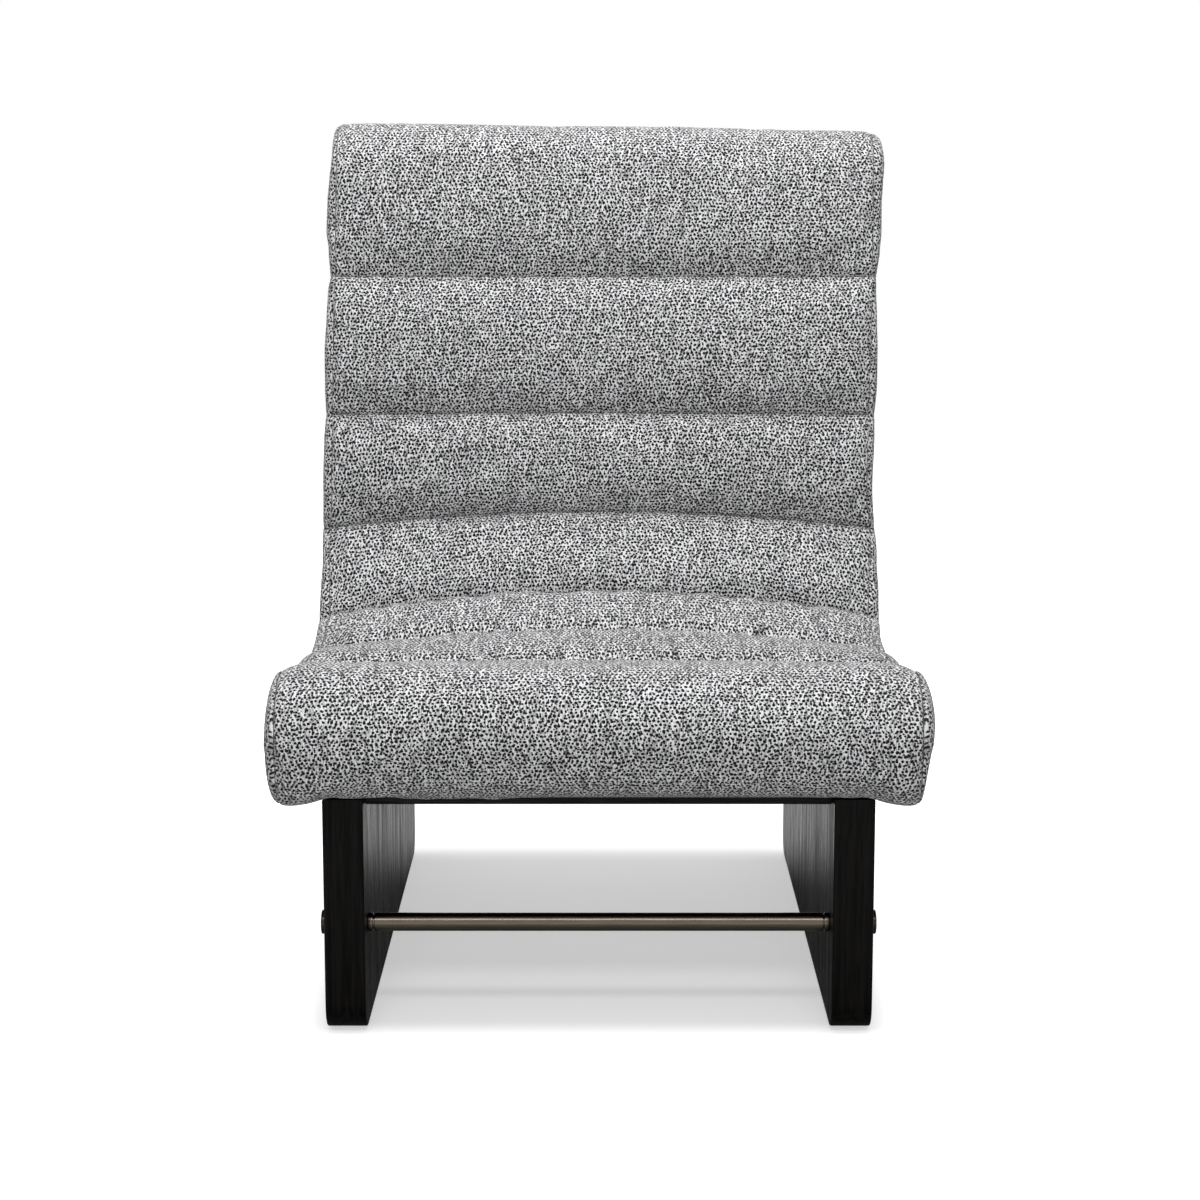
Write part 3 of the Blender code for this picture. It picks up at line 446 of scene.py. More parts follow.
def cloth_sheet(name, rows, columns, place, weave_at):
    """A grid of cloth, placed by row and column, with a UV map in metres that its weave follows."""
    bm = bmesh.new()
    bmesh.ops.create_grid(bm, x_segments=len(columns) - 1, y_segments=len(rows) - 1, size=0.5)
    weave = bm.loops.layers.uv.new("weave")
    bm.verts.ensure_lookup_table()
    spots = []
    for vert in bm.verts:
        row = rows[round((vert.co.y + 0.5) * (len(rows) - 1))]
        column = columns[round((vert.co.x + 0.5) * (len(columns) - 1))]
        spots.append((row, column))
        vert.co = place(row, column)
    for face in bm.faces:
        for loop in face.loops:
            loop[weave].uv = weave_at(*spots[loop.vert.index])
    return as_object(name, bm), spots


STITCH_ROWS = (-0.0050, -0.0018, 0.0, 0.0018, 0.0050)
EVEN_HALF_WIDTH = 0.285
EDGE_COLUMNS = (0.3145, 0.3182, CLOTH_HALF_WIDTH)
cushion_breaks = [0.0, RUN_START["nose"], SEAMS[0]]
for seam in SEAMS[1:]:
    cushion_breaks += [seam + offset for offset in STITCH_ROWS]
cushion_breaks += [RUN_START["top"], RUN_END["top"], RUN_END["rear"]]
CUSHION_ROWS = even_rows(cushion_breaks, ROW_SPACING)
column_breaks = [-CLOTH_HALF_WIDTH, -EVEN_HALF_WIDTH, 0.0, EVEN_HALF_WIDTH, CLOTH_HALF_WIDTH]
CUSHION_COLUMNS = [x for x in even_rows(column_breaks, ROW_SPACING) if abs(x) < EDGE_COLUMNS[0]]
CUSHION_COLUMNS = sorted(CUSHION_COLUMNS + [side * x for x in EDGE_COLUMNS for side in (-1, 1)])


DRAWN_STRETCH = 0.5
SLACK_FULLNESS = 0.85
MEASURED_AT = 0.15


def lengths_along(rows, place, stretch=0.0):
    """The length of cloth from its first row to each row; drawn cloth has wider crossings."""
    lengths = {rows[0]: 0.0}
    for before, after in zip(rows, rows[1:]):
        step = (place(after, MEASURED_AT) - place(before, MEASURED_AT)).length
        lengths[after] = lengths[before] + step / (1.0 + stretch * within(after, *DRAWN_SPAN))
    return lengths


CUSHION_LENGTHS = lengths_along(CUSHION_ROWS, on_cushion, DRAWN_STRETCH)
cushion, cushion_spots = cloth_sheet(
    "channelled_cushion",
    CUSHION_ROWS,
    CUSHION_COLUMNS,
    lambda s, x: on_cushion(s, x, SLACK_FULLNESS),
    lambda s, x: (x, CUSHION_LENGTHS[s]),
)
PUFF_STEPS = 20
LONGEST_PUFF = 0.003


def is_stitched(s):
    """Whether a row lies on a seam between two channels."""
    return min(abs(s - seam) for seam in SEAMS[1:]) < SAME_PLACE


def puff_up(sheet, spots):
    """Blows the stitched cloth up against its seams and edges, so that it gathers between them."""
    held = sheet.vertex_groups.new(name="stitched")
    for index, (s, x) in enumerate(spots):
        at_edge = abs(x) > CLOTH_HALF_WIDTH - SAME_PLACE
        tucked = s <= RUN_START["nose"] + SAME_PLACE or s >= RUN_END["top"] - SAME_PLACE
        if is_stitched(s) or at_edge or tucked:
            held.add([index], 1.0, "REPLACE")
    cloth = sheet.modifiers.new("stuffing", "CLOTH")
    settings = cloth.settings
    settings.quality = 6
    settings.mass = 0.4
    settings.tension_stiffness = 20
    settings.compression_stiffness = 12
    settings.shear_stiffness = 8
    settings.bending_stiffness = 1.2
    settings.air_damping = 4
    settings.vertex_group_mass = "stitched"
    settings.shrink_min = -0.025
    settings.use_pressure = True
    settings.uniform_pressure_force = 3.0
    settings.effector_weights.gravity = 0.0
    cloth.collision_settings.use_collision = False
    scene = bpy.context.scene
    for step in range(1, PUFF_STEPS + 1):
        scene.frame_set(step)
    settled = sheet.evaluated_get(bpy.context.evaluated_depsgraph_get())
    places = [vert.co.copy() for vert in settled.data.vertices]
    sheet.modifiers.remove(cloth)
    scene.frame_set(1)
    return places


puffed = puff_up(cushion, cushion_spots)
# Painted shade: the seam rows between the channels are marked, so that the cloth's colour is darkened there as the
# shade in the stitched valleys.
painted_seam_shade = cushion.data.attributes.new("painted_seam_shade", "FLOAT", "POINT")
drawn = cushion.data.attributes.new("drawn", "FLOAT", "POINT")
for index, (s, x) in enumerate(cushion_spots):
    formed = on_cushion(s, x)
    if puffed:
        moved = puffed[index] - formed
        moved *= min(LONGEST_PUFF / max(moved.length, 1e-9), 1.0)
        formed += moved
    cushion.data.vertices[index].co = formed
    painted_seam_shade.data[index].value = float(is_stitched(s))
    drawn.data[index].value = within(s, *DRAWN_SPAN)


MERGE_DISTANCE = 1e-7


def add_lining(sheet, spots, place):
    """Closes a sheet into a pad with a lining underneath, joined to it at its edges, which stay crisp."""
    bm = bmesh.new()
    bm.from_mesh(sheet.data)
    mark = bm.verts.layers.int.new("spot")
    crease = bm.edges.layers.float.new("crease_edge")
    for index, vert in enumerate(bm.verts):
        vert[mark] = index
    for edge in bm.edges:
        edge[crease] = float(edge.is_boundary)
    pulled = bmesh.ops.extrude_face_region(bm, geom=bm.faces[:], use_keep_orig=True)
    for item in pulled["geom"]:
        if isinstance(item, bmesh.types.BMVert):
            item.co = place(*spots[item[mark]])
    bmesh.ops.remove_doubles(bm, verts=bm.verts, dist=MERGE_DISTANCE)
    bmesh.ops.recalc_face_normals(bm, faces=bm.faces)
    bm.to_mesh(sheet.data)
    bm.free()


def under_cushion(s, x):
    """A place on the lining, a little below the seat's line."""
    return set_askew(at_height(s, x, -LINING_DEPTH))


add_lining(cushion, cushion_spots, under_cushion)
softened = cushion.modifiers.new("soft", "SUBSURF")
softened.levels = 1
softened.render_levels = 1
cushion.data.shade_smooth()

ROW_PITCH = 0.0047
COLUMN_PITCH = 0.96
SWAY = 2.2
PATCHINESS = (0.32, 0.34)
RUN_LENGTH = 0.3
DOT_SIZES = (0.65, 0.30)
COLUMN_LUCK = (0.20, 0.50)
FLECK_DARKNESS = 0.96
BIT_SHADES = (0.60, 0.14)
SLUB_SHADES = (0.22, 0.74)
SLUB_MEAN = 0.33
DARKEST_YARN = 0.08
YARN_LIFT = (0.35, 0.65)
# How far the cloth is darkened at the seams, as painted shade in the stitched valleys.
SEAM_PAINTED_SHADE = 0.55


def weave_group():
    """Coarse hopsack in a plane in metres: pale yarns, and black yarn that shows as uneven dots and dashes."""
    group, given, result = new_group(
        "hopsack weave",
        {"Vector": "Vector", "Pale": "Color", "Black": "Color", "Pitch": "Float", "Drawn": "Float"},
        {"Colour": "Color", "Height": "Float"},
    )

    def fig(operation, *values):
        """The result of one Math node of the weave."""
        return work_out(group, operation, *values)

    def bits_at(stretch):
        """Three random numbers for each small bit of yarn."""
        place = new_node(group, "Mapping", Vector=given["Vector"], Scale=stretch)
        bit = new_node(group, "TexVoronoi", Vector=place.outputs["Vector"], Scale=1.0)
        return new_node(group, "SeparateXYZ", Vector=bit.outputs["Color"]).outputs

    def chance_at(**place):
        """White noise that is the same all over one crossing."""
        cell = new_node(group, "CombineXYZ", **place)
        return new_node(group, "TexWhiteNoise", Vector=cell.outputs["Vector"]).outputs

    flat = new_node(group, "SeparateXYZ", Vector=given["Vector"])
    sway = new_node(group, "TexNoise", Vector=given["Vector"], Scale=22.0, Detail=2.0)
    patches = new_node(group, "Mapping", Vector=given["Vector"], Scale=(26.0, 60.0, 1.0))
    patch = new_node(group, "TexNoise", Vector=patches.outputs["Vector"], Scale=1.0, Detail=2.0)
    unevenness = fig("MULTIPLY_ADD", patch.outputs["Fac"], *PATCHINESS)
    down = fig("DIVIDE", flat.outputs["Y"], given["Pitch"])
    down = fig("ADD", down, fig("MULTIPLY", sway.outputs["Fac"], SWAY))
    across = fig("DIVIDE", flat.outputs["X"], fig("MULTIPLY", given["Pitch"], COLUMN_PITCH))
    column_luck = chance_at(
        X=fig("FLOOR", fig("MULTIPLY", across, 2.0)), Y=fig("FLOOR", fig("MULTIPLY", down, RUN_LENGTH))
    )

    def yarn_dots(shift, seed, jitter, width, height, share):
        """Black dots in staggered rows, uneven in place and size, for a share of the crossings."""
        fallen = fig("ADD", down, shift)
        row = fig("FLOOR", fallen)
        stagger = fig("MULTIPLY", fig("FLOORED_MODULO", row, 2.0), 0.5)
        along = fig("ADD", across, fig("ADD", stagger, shift))
        chance = chance_at(X=fig("FLOOR", along), Y=row, Z=seed)
        random = new_node(group, "SeparateXYZ", Vector=chance["Color"])
        size = fig("ADD", fig("MULTIPLY_ADD", random.outputs["Z"], *DOT_SIZES), unevenness)
        wide = fig("MULTIPLY", size, width)
        tall = fig("MULTIPLY_ADD", size, height * 0.5, height * 0.5)
        parts = []
        for axis, place, reach in (("X", along, wide), ("Y", fallen, tall)):
            middle = fig("MULTIPLY_ADD", random.outputs[axis], jitter, 0.5 - jitter / 2)
            away = fig("SUBTRACT", fig("FRACT", place), middle)
            parts.append(fig("POWER", fig("ABSOLUTE", fig("DIVIDE", away, reach)), 2.0))
        dot = fig("SUBTRACT", 1.0, ramp_between(group, fig("ADD", *parts), 0.98, 1.12))
        luck = new_node(
            group,
            "Mix",
            {"data_type": "FLOAT"},
            Factor=fig("MULTIPLY_ADD", given["Drawn"], *COLUMN_LUCK),
            A=chance["Value"],
            B=column_luck["Value"],
        )
        luck = fig("SUBTRACT", luck.outputs["Result"], unevenness)
        return fig("MULTIPLY", dot, fig("LESS_THAN", luck, share - 0.5))

    dots = yarn_dots(0.0, 1.0, 0.38, 0.285, 0.27, 0.98)
    flecks = yarn_dots(0.5, 7.0, 0.66, 0.20, 0.215, 0.93)
    black = fig("MAXIMUM", dots, fig("MULTIPLY", flecks, FLECK_DARKNESS))
    bits = bits_at((1050.0, 560.0, 1.0))
    slubs = bits_at((850.0, 85.0, 1.0))
    slub_depth = fig("MULTIPLY_ADD", given["Drawn"], *SLUB_SHADES)
    shade = fig("MULTIPLY_ADD", fig("SUBTRACT", slubs["X"], 0.5), slub_depth, SLUB_MEAN)
    shade = fig("ADD", shade, fig("MULTIPLY_ADD", bits["X"], *BIT_SHADES))
    shade = fig("MINIMUM", fig("MAXIMUM", shade, DARKEST_YARN), 1.0)
    pale = new_node(group, "VectorMath", {"operation": "SCALE"}, Scale=shade)
    group.links.new(given["Pale"], pale.inputs[0])
    group.links.new(mix_colours(group, black, pale.outputs["Vector"], given["Black"]), result.inputs["Colour"])
    lifted = fig("MULTIPLY_ADD", bits["Y"], *YARN_LIFT)
    group.links.new(fig("SUBTRACT", lifted, black), result.inputs["Height"])
    return group


HOPSACK_WEAVE = weave_group()
GREY_HOPSACK, cloth_tree, cloth_shader = new_finish("grey hopsack", (0.36, 0.36, 0.37), 0.92)
cloth_place = new_node(cloth_tree, "UVMap", {"uv_map": "weave"})
sat_on = new_node(cloth_tree, "Attribute", {"attribute_name": "drawn"})
cloth_weave = new_node(
    cloth_tree,
    "Group",
    {"node_tree": HOPSACK_WEAVE},
    Vector=cloth_place.outputs["UV"],
    Pale=(0.785, 0.785, 0.795, 1.0),
    Black=(0.004, 0.004, 0.0042, 1.0),
    Pitch=ROW_PITCH,
    Drawn=sat_on.outputs["Fac"],
)
# Painted shade: the weave is mixed towards near-black along the marked seam rows, for the shade in the stitched
# valleys.
painted_seam_mark = new_node(cloth_tree, "Attribute", {"attribute_name": "painted_seam_shade"})
painted_seam_share = work_out(cloth_tree, "MULTIPLY", painted_seam_mark.outputs["Fac"], SEAM_PAINTED_SHADE)
cloth_colour = mix_colours(cloth_tree, painted_seam_share, cloth_weave.outputs["Colour"], (0.02, 0.02, 0.02, 1.0))
cloth_tree.links.new(cloth_colour, cloth_shader.inputs["Base Color"])
add_relief(cloth_tree, cloth_shader, cloth_weave.outputs["Height"], 0.0008, 1.0)
cloth_shader.inputs["Sheen Weight"].default_value = 0.10
cloth_shader.inputs["Sheen Roughness"].default_value = 0.6
cloth_shader.inputs["Specular IOR Level"].default_value = 0.25

cushion.data.materials.append(GREY_HOPSACK)
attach(cushion, "root")
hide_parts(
    "front_cover",
    "knee_roll",
    "front_seat_channel",
    "middle_seat_channel",
    "rear_seat_channel",
    "lumbar_channel",
    "lower_back_channel",
    "upper_back_channel",
    "head_channel",
)

# Side boxing
# A strip of the same cloth over thin wadding on the outside of each rib, sewn to the front cover along its edge,
# so that it stands out round and soft beyond the seam, and swells over the end of the knee roll.
SIDE_GAP = 0.0003
SIDE_ROUNDING = 0.0075
SIDE_ROUND_REACH = 0.011
SIDE_PUFF = 0.0018
SIDE_PUFF_REACH = 0.045
ROLL_DOME = 0.0093
ROLL_DOME_REACH = 0.052
ROLL_DOME_FADE = 0.09
REAR_FADE = (0.45, 0.95)
RIGHT_TUCK = 0.0085
RIGHT_TUCK_HEIGHTS = (0.268, 0.345)
SIDE_STEP = 0.0085
TIP_ROWS = 12
SIDE_FULLNESS = (
    # place along the seat's line, and how much further the left and the right boxing stand out there
    (0.2234, 0.004, 0.007),
    (0.3, 0.004, 0.005),
    (0.45, 0.004, 0.004),
    (0.6, 0.005, 0.004),
    (0.67, 0.0055, 0.0035),
    (0.72, 0.0058, 0.0065),
    (0.75, 0.005, 0.006),
    (0.79, 0.002, 0.0015),
    (0.84, 0.0028, -0.001),
    (0.887, 0.004, -0.0005),
    (0.935, 0.0032, 0.001),
    (0.966, 0.0012, 0.0006),
    (1.0, 0.0027, 0.0024),
    (1.042, 0.0039, 0.0016),
    (1.08, 0.0021, -0.0004),
    (1.115, 0.0009, -0.0023),
    (1.132, -0.0016, -0.002),
    (1.163, 0.001, 0.0017),
    (1.187, 0.0045, 0.0034),
    (1.223, 0.0035, 0.003),
    (1.248, 0.0011, 0.0047),
    (1.273, -0.0018, 0.0069),
    (1.3, -0.002, 0.0058),
    (1.345, -0.001, 0.0045),
    (1.6, 0.0, 0.002),
)


def side_rows():
    """Pairs of places at the front and the back edge, from the tip of the knee roll to the top's."""
    half = math.pi * END_RADIUS / 2
    reaches = [half * math.sin(math.pi / 2 * i / TIP_ROWS) for i in range(TIP_ROWS, 0, -1)]
    rows = [(RUN_END["nose"] - reach, RUN_START["nose"] + reach) for reach in reaches]
    for s in even_rows([RUN_END["nose"], *SEAMS, RUN_START["top"]], SIDE_STEP):
        below = RUN_START["nose"] - (s - RUN_END["nose"])
        rows.append((s, below if below >= 0.0 else None))
    return rows + [(RUN_START["top"] + reach, RUN_END["top"] - reach) for reach in reversed(reaches)]


def side_fullness(s, sign):
    """How much further than evenly the boxing stands out, from the table."""
    for before, after in zip(SIDE_FULLNESS, SIDE_FULLNESS[1:]):
        if s <= after[0]:
            share = eased(s, before[0], after[0])
            column = 1 if sign < 0 else 2
            return before[column] + (after[column] - before[column]) * share
    return 0.0


def on_side(row, share, sign):
    """A place on the boxing, from the front edge at 0 to the back edge at 1."""
    x = sign * CLOTH_HALF_WIDTH
    front = on_cushion(row[0], x)
    if row[1] is None:
        back = set_askew(at_height(row[0], x, -BODY_THICKNESS))
    else:
        back = on_cushion(row[1], x)
    place = front.lerp(back, share)
    off_edge = min(share, 1.0 - share) * (back - front).length
    first, last = RUN_END["nose"], RUN_START["top"]
    if row[1] is not None and not first <= row[0] <= last:
        middle = set_askew(at_height(first if row[0] < first else last, x, -END_RADIUS))
        edge = front if share <= 0.5 else back
        off_edge = max((edge - middle).length - (place - middle).length, 0.0)
    close = 1.0 - min(off_edge / SIDE_ROUND_REACH, 1.0)
    swell = SIDE_ROUNDING * math.sqrt(1.0 - close**2) + SIDE_PUFF * eased(off_edge, 0.0, SIDE_PUFF_REACH)
    open_share = 1.0 - min(off_edge / ROLL_DOME_REACH, 1.0)
    dome = ROLL_DOME * math.sqrt(1.0 - open_share**2)
    on_roll = 1.0 - eased(row[0], first, first + ROLL_DOME_FADE)
    swell += (dome - swell) * on_roll
    fuller = side_fullness(row[0], sign) * (1.0 - eased(share, *REAR_FADE) * (1.0 - on_roll))
    if sign > 0:
        fuller -= RIGHT_TUCK * (1.0 - eased(place.z, *RIGHT_TUCK_HEIGHTS)) * on_roll
    swell *= 1.0 + fuller / (SIDE_ROUNDING + SIDE_PUFF)
    place.x += sign * (SIDE_GAP + swell)
    return place


SIDE_SHARES = [0.0, 0.004, 0.014, 0.032, 0.060, 0.10, 0.16, 0.24, 0.33, 0.42]
SIDE_SHARES = SIDE_SHARES + [0.5] + [1.0 - share for share in reversed(SIDE_SHARES)]
RIM_ANGLE = math.radians(70.0)


def laid_flat(rows, sign):
    """Where each place on the boxing lies once it is spread flat from its middle line, for the weave."""
    flat = {}
    for row in rows:
        places = [on_side(row, share, sign) for share in SIDE_SHARES]
        half = len(places) // 2
        middle = places[half]
        across = Vector((places[-1].y - places[0].y, places[-1].z - places[0].z)).normalized()
        for index, share in enumerate(SIDE_SHARES):
            low, high = sorted((index, half))
            length = sum((places[i + 1] - places[i]).length for i in range(low, high))
            shift = across * (length if index > half else -length)
            flat[row, share] = (middle.y + shift.x, middle.z + shift.y)
    return flat


for side, sign in (("left", -1), ("right", 1)):
    boxing_rows = side_rows()
    boxing_flat = laid_flat(boxing_rows, sign)
    boxing, boxing_spots = cloth_sheet(
        f"{side}_side_boxing",
        boxing_rows,
        SIDE_SHARES,
        lambda row, share: on_side(row, share, sign),
        lambda row, share: boxing_flat[row, share],
    )

    def inside_boxing(row, share):
        """A place on the flat back of the boxing, which meets the cloth at both edges."""
        place = on_side(row, share, sign)
        if 0.0 < share < 1.0:
            place.x = set_askew(Vector((sign * (CLOTH_HALF_WIDTH + SIDE_GAP), place.y, place.z))).x
        return place

    add_lining(boxing, boxing_spots, inside_boxing)
    boxing.data.shade_smooth()
    boxing.data.set_sharp_from_angle(angle=RIM_ANGLE)
    boxing.data.materials.append(GREY_HOPSACK)
    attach(boxing, "root")
    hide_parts(f"{side}_side_panel")

# Outside back
# The same cloth pulled over the padded plywood shell, from under the seat up to the seam behind the top edge.
OUTSIDE_START = 0.57885
OUTSIDE_STEP = 0.010
TAIL_SEAM = RUN_START["top"] - REAR_WRAP
HEM_START, *HEM_ROWS, HEM_END = (TAIL_SEAM - before for before in (0.012, 0.006, 0.002, 0.0002))
OUTSIDE_ROWS = even_rows([OUTSIDE_START, RUN_END["lumbar"], HEM_START, HEM_END], OUTSIDE_STEP)
OUTSIDE_ROWS[-1:-1] = HEM_ROWS
OUTSIDE_COLUMNS = even_rows([-CLOTH_HALF_WIDTH, CLOTH_HALF_WIDTH], OUTSIDE_STEP)
OUTSIDE_PUFF = 0.0016
OUTSIDE_PUFF_REACH = 0.08
OUTSIDE_WAVE = 0.0012
OUTSIDE_WAVE_REACH = 0.2
CLOTH_THICKNESS = 0.002
HEM_DIP = 0.0016
HEM_REACH = 0.010


def on_outside(s, x, depth=0.0):
    """A place on the outside back cloth, or at a depth into it."""
    share = (s - OUTSIDE_START) / (TAIL_SEAM - OUTSIDE_START)
    edge = min(1.0 - abs(x) / CLOTH_HALF_WIDTH, share, 1.0 - share)
    puff = OUTSIDE_PUFF * eased(edge, 0.0, OUTSIDE_PUFF_REACH)
    wave = noise.noise(Vector((x * 5.0, s * 3.0, 4.0)))
    puff += OUTSIDE_WAVE * wave * eased(edge, 0.0, OUTSIDE_WAVE_REACH)
    puff -= HEM_DIP * (1.0 - eased(TAIL_SEAM - s, 0.0, HEM_REACH)) ** 2
    return set_askew(at_height(s, x, -BODY_THICKNESS - puff + depth))


OUTSIDE_LENGTHS = lengths_along(OUTSIDE_ROWS, on_outside)
outside_back, outside_spots = cloth_sheet(
    "outside_back_cloth",
    OUTSIDE_ROWS,
    OUTSIDE_COLUMNS,
    on_outside,
    lambda s, x: (x, OUTSIDE_LENGTHS[s]),
)
add_lining(outside_back, outside_spots, lambda s, x: on_outside(s, x, CLOTH_THICKNESS))
outside_back.data.shade_smooth()
outside_back.data.materials.append(GREY_HOPSACK)
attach(outside_back, "root")
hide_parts("outside_back_cover")

# Dust cover
# Thin black cambric stapled flat over the underside of the seat, above the board and between the slabs.
DUST_STEP = 0.014
DUST_MARGIN = 0.002
DUST_HALF_WIDTH = RIB_FACE - 0.012
DUST_ROWS = even_rows([RUN_END["nose"] + UNDER_WRAP + DUST_MARGIN, OUTSIDE_START - DUST_MARGIN], DUST_STEP)
DUST_COLUMNS = even_rows([-DUST_HALF_WIDTH, DUST_HALF_WIDTH], DUST_STEP)
CAMBRIC_THICKNESS = 0.0008


def on_underside(s, x, depth=0.0):
    """A place on the cambric, or at a depth above it."""
    return at_height(s, x, -BODY_THICKNESS + CAMBRIC_THICKNESS / 2 + depth)


dust_cloth, dust_spots = cloth_sheet(
    "dust_cloth", DUST_ROWS, DUST_COLUMNS, on_underside, lambda s, x: (x, s)
)
add_lining(dust_cloth, dust_spots, lambda s, x: on_underside(s, x, CAMBRIC_THICKNESS))
BLACK_CAMBRIC = speckled("black cambric", (0.008, 0.008, 0.008), (0.030, 0.030, 0.031), 1400.0, 0.9, 0.0002)
dust_cloth.data.materials.append(BLACK_CAMBRIC)
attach(dust_cloth, "root")
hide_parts("dust_cover")

# Slab legs
# Two upright slabs of black-stained oak, 41.5 mm thick, with the grain upright. Their top edges are shaped to
# cradle the seat, and their corners are rounded to 30 mm.
SLAB_THICKNESS = 0.0415
SLAB_OUTER = HALF_WIDTH - 0.050
SLAB_INNER = SLAB_OUTER - SLAB_THICKNESS
SLAB_FRONT = -0.330
SLAB_REAR = 0.390
SLAB_BOTTOM = 0.0028
SLAB_CORNER = 0.030
SLAB_REAR_TOP = 0.300
SLAB_EDGE = 0.0018
CORNER_STEPS = 12
CRADLE_STEP = 0.008
SHARP_ANGLE = math.radians(35.0)
CRADLE_START = 0.25195
REST_LEVEL = -BODY_THICKNESS - 0.0003
RELIEF_DROP = 0.0015
RELIEF_WIDTH = 0.0125


def corner(y, z, start, end):
    """A rounded corner about a centre, in degrees from +Y towards +Z."""
    turns = [math.radians(start + (end - start) * i / CORNER_STEPS) for i in range(CORNER_STEPS + 1)]
    return [(y + SLAB_CORNER * math.cos(turn), z + SLAB_CORNER * math.sin(turn)) for turn in turns]


def plate(outline, inner, outer):
    """A flat plate in the YZ plane, from inner to outer along X, as a bmesh."""
    bm = bmesh.new()
    face = bm.faces.new([bm.verts.new((inner, y, z)) for y, z in outline])
    pulled = bmesh.ops.extrude_face_region(bm, geom=[face])
    shift = [item for item in pulled["geom"] if isinstance(item, bmesh.types.BMVert)]
    bmesh.ops.translate(bm, verts=shift, vec=(outer - inner, 0.0, 0.0))
    bmesh.ops.recalc_face_normals(bm, faces=bm.faces)
    return bm


def finish_mesh(bm, name, finish):
    """Turns a bmesh into a piece of the chair whose flat faces stay flat to the light."""
    made = as_object(name, bm)
    made.data.materials.append(finish)
    made.data.shade_smooth()
    made.data.set_sharp_from_angle(angle=SHARP_ANGLE)
    made.modifiers.new("flat faces", "WEIGHTED_NORMAL").keep_sharp = True
    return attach(made, "root")


def slab_outline():
    """The slab's edge, from its front bottom corner over the cradle to the rear one."""
    cradle = []
    for s in even_rows([CRADLE_START, RUN_END["seat"], RUN_END["lumbar"]], CRADLE_STEP):
        place = on_line(s, REST_LEVEL)[0]
        if place.y >= SLAB_REAR_TOP:
            break
        cradle.append(tuple(place))
    shoulder = cradle[0][1] - RELIEF_DROP
    last, past = Vector(cradle[-1]), place
    share = (SLAB_REAR_TOP - last.y) / (past.y - last.y)
    cradle.append(tuple(last.lerp(past, share)))
    low = SLAB_BOTTOM + SLAB_CORNER
    outline = corner(SLAB_FRONT + SLAB_CORNER, low, 270, 180)
    outline += [(SLAB_FRONT, shoulder), (cradle[0][0] - RELIEF_WIDTH, shoulder)]
    outline += cradle
    outline += corner(SLAB_REAR - SLAB_CORNER, SLAB_REAR_TOP - SLAB_CORNER, 90, 0)
    outline += corner(SLAB_REAR - SLAB_CORNER, low, 0, -90)
    return outline


STAIN = (0.0005, 0.0004, 0.0004)
BLACK_OAK = wood("black stained oak", STAIN, (0.0062, 0.0055, 0.0050), 0.27, UPRIGHT, 1100.0, 0.06)
for side, sign in (("left", -1), ("right", 1)):
    bm = plate(slab_outline(), sign * SLAB_INNER, sign * SLAB_OUTER)
    rims = [edge for edge in bm.edges if abs(edge.verts[0].co.x - edge.verts[1].co.x) < 1e-6]
    rounding = {"offset": SLAB_EDGE, "offset_type": "OFFSET", "segments": 3, "profile": 0.5}
    bmesh.ops.bevel(bm, geom=rims, affect="EDGES", material=-1, **rounding)
    slab = finish_mesh(bm, f"{side}_slab_leg", BLACK_OAK)
    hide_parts(f"{side}_leg_slab")

# Seat board, dowels and seat bolts
# A black oak board between the slabs carries the seat. It is dowelled to them, and zinc-plated bolts go up
# through it into tee nuts on the seat's rails.
BLACK_BOARD = wood(
    "black stained board", (0.0015, 0.0014, 0.0013), (0.012, 0.0105, 0.0095), 0.45, CROSSWAYS, 1100.0, 0.12
)
give_finish(BLACK_BOARD, "seat_board")
CORNERS = [f"{end}_{side}" for end in ("front", "rear") for side in ("left", "right")]
DULL_SHARE = 0.72


def metal(name, colour, roughness, brushing, spread):
    """A metal with fine brush marks; brushing stretches them along an axis of the chair."""
    made, tree, shader = new_finish(name, colour, roughness, 1.0)
    place = new_node(tree, "TexCoord")
    lines = new_node(tree, "Mapping", Vector=place.outputs["Object"], Scale=brushing)
    marks = new_node(tree, "TexNoise", Vector=lines.outputs["Vector"], Scale=1.0, Detail=4.0)
    rough = work_out(tree, "MULTIPLY_ADD", marks.outputs["Fac"], spread, roughness - spread / 2)
    tree.links.new(rough, shader.inputs["Roughness"])
    dull = tuple(value * DULL_SHARE for value in colour)
    share = ramp_between(tree, marks.outputs["Fac"], 0.30, 0.70)
    tree.links.new(mix_colours(tree, share, (*dull, 1.0), (*colour, 1.0)), shader.inputs["Base Color"])
    add_relief(tree, shader, marks.outputs["Fac"], 0.00005, 0.5)
    return made


ZINC_PLATE = metal("zinc plate", (0.58, 0.59, 0.61), 0.32, (300.0, 300.0, 300.0), 0.2)
for place in CORNERS:
    give_finish(BEECH, f"{place}_board_dowel")
    give_finish(ZINC_PLATE, f"{place}_seat_bolt", f"{place}_tee_nut")

# Stretcher rods, collars and bolts
# Two 19 mm steel rods in brushed dark bronze tie the slabs near the floor. Each ends in a short turned collar, and
# a blackened bolt with a low, round-edged head goes through the slab into its threaded end.
ROD_RADIUS = 0.0095
ROD_HEIGHT = 0.110
FIT = 0.0003
ROD_HALF = SLAB_INNER - FIT
ROD_BORE = 0.0045
ROD_BORE_DEPTH = 0.034
SPIGOT_RADIUS = 0.0072
COLLAR_LENGTH = 0.0055
COLLAR_GROOVE = 0.0011
COLLAR_RADIUS = 0.0098
TURNED_EDGE = 0.0006
TURNED_EDGE_MIDDLE = 0.0002
BOLT_RADIUS = 0.004
BOLT_REACH = 0.030
BOLT_HEAD_RADIUS = 0.0125
BOLT_HEAD_HEIGHT = 0.0066
BOLT_HEAD_CROWN = 0.0006
BOLT_HEAD_EDGE = 0.0013
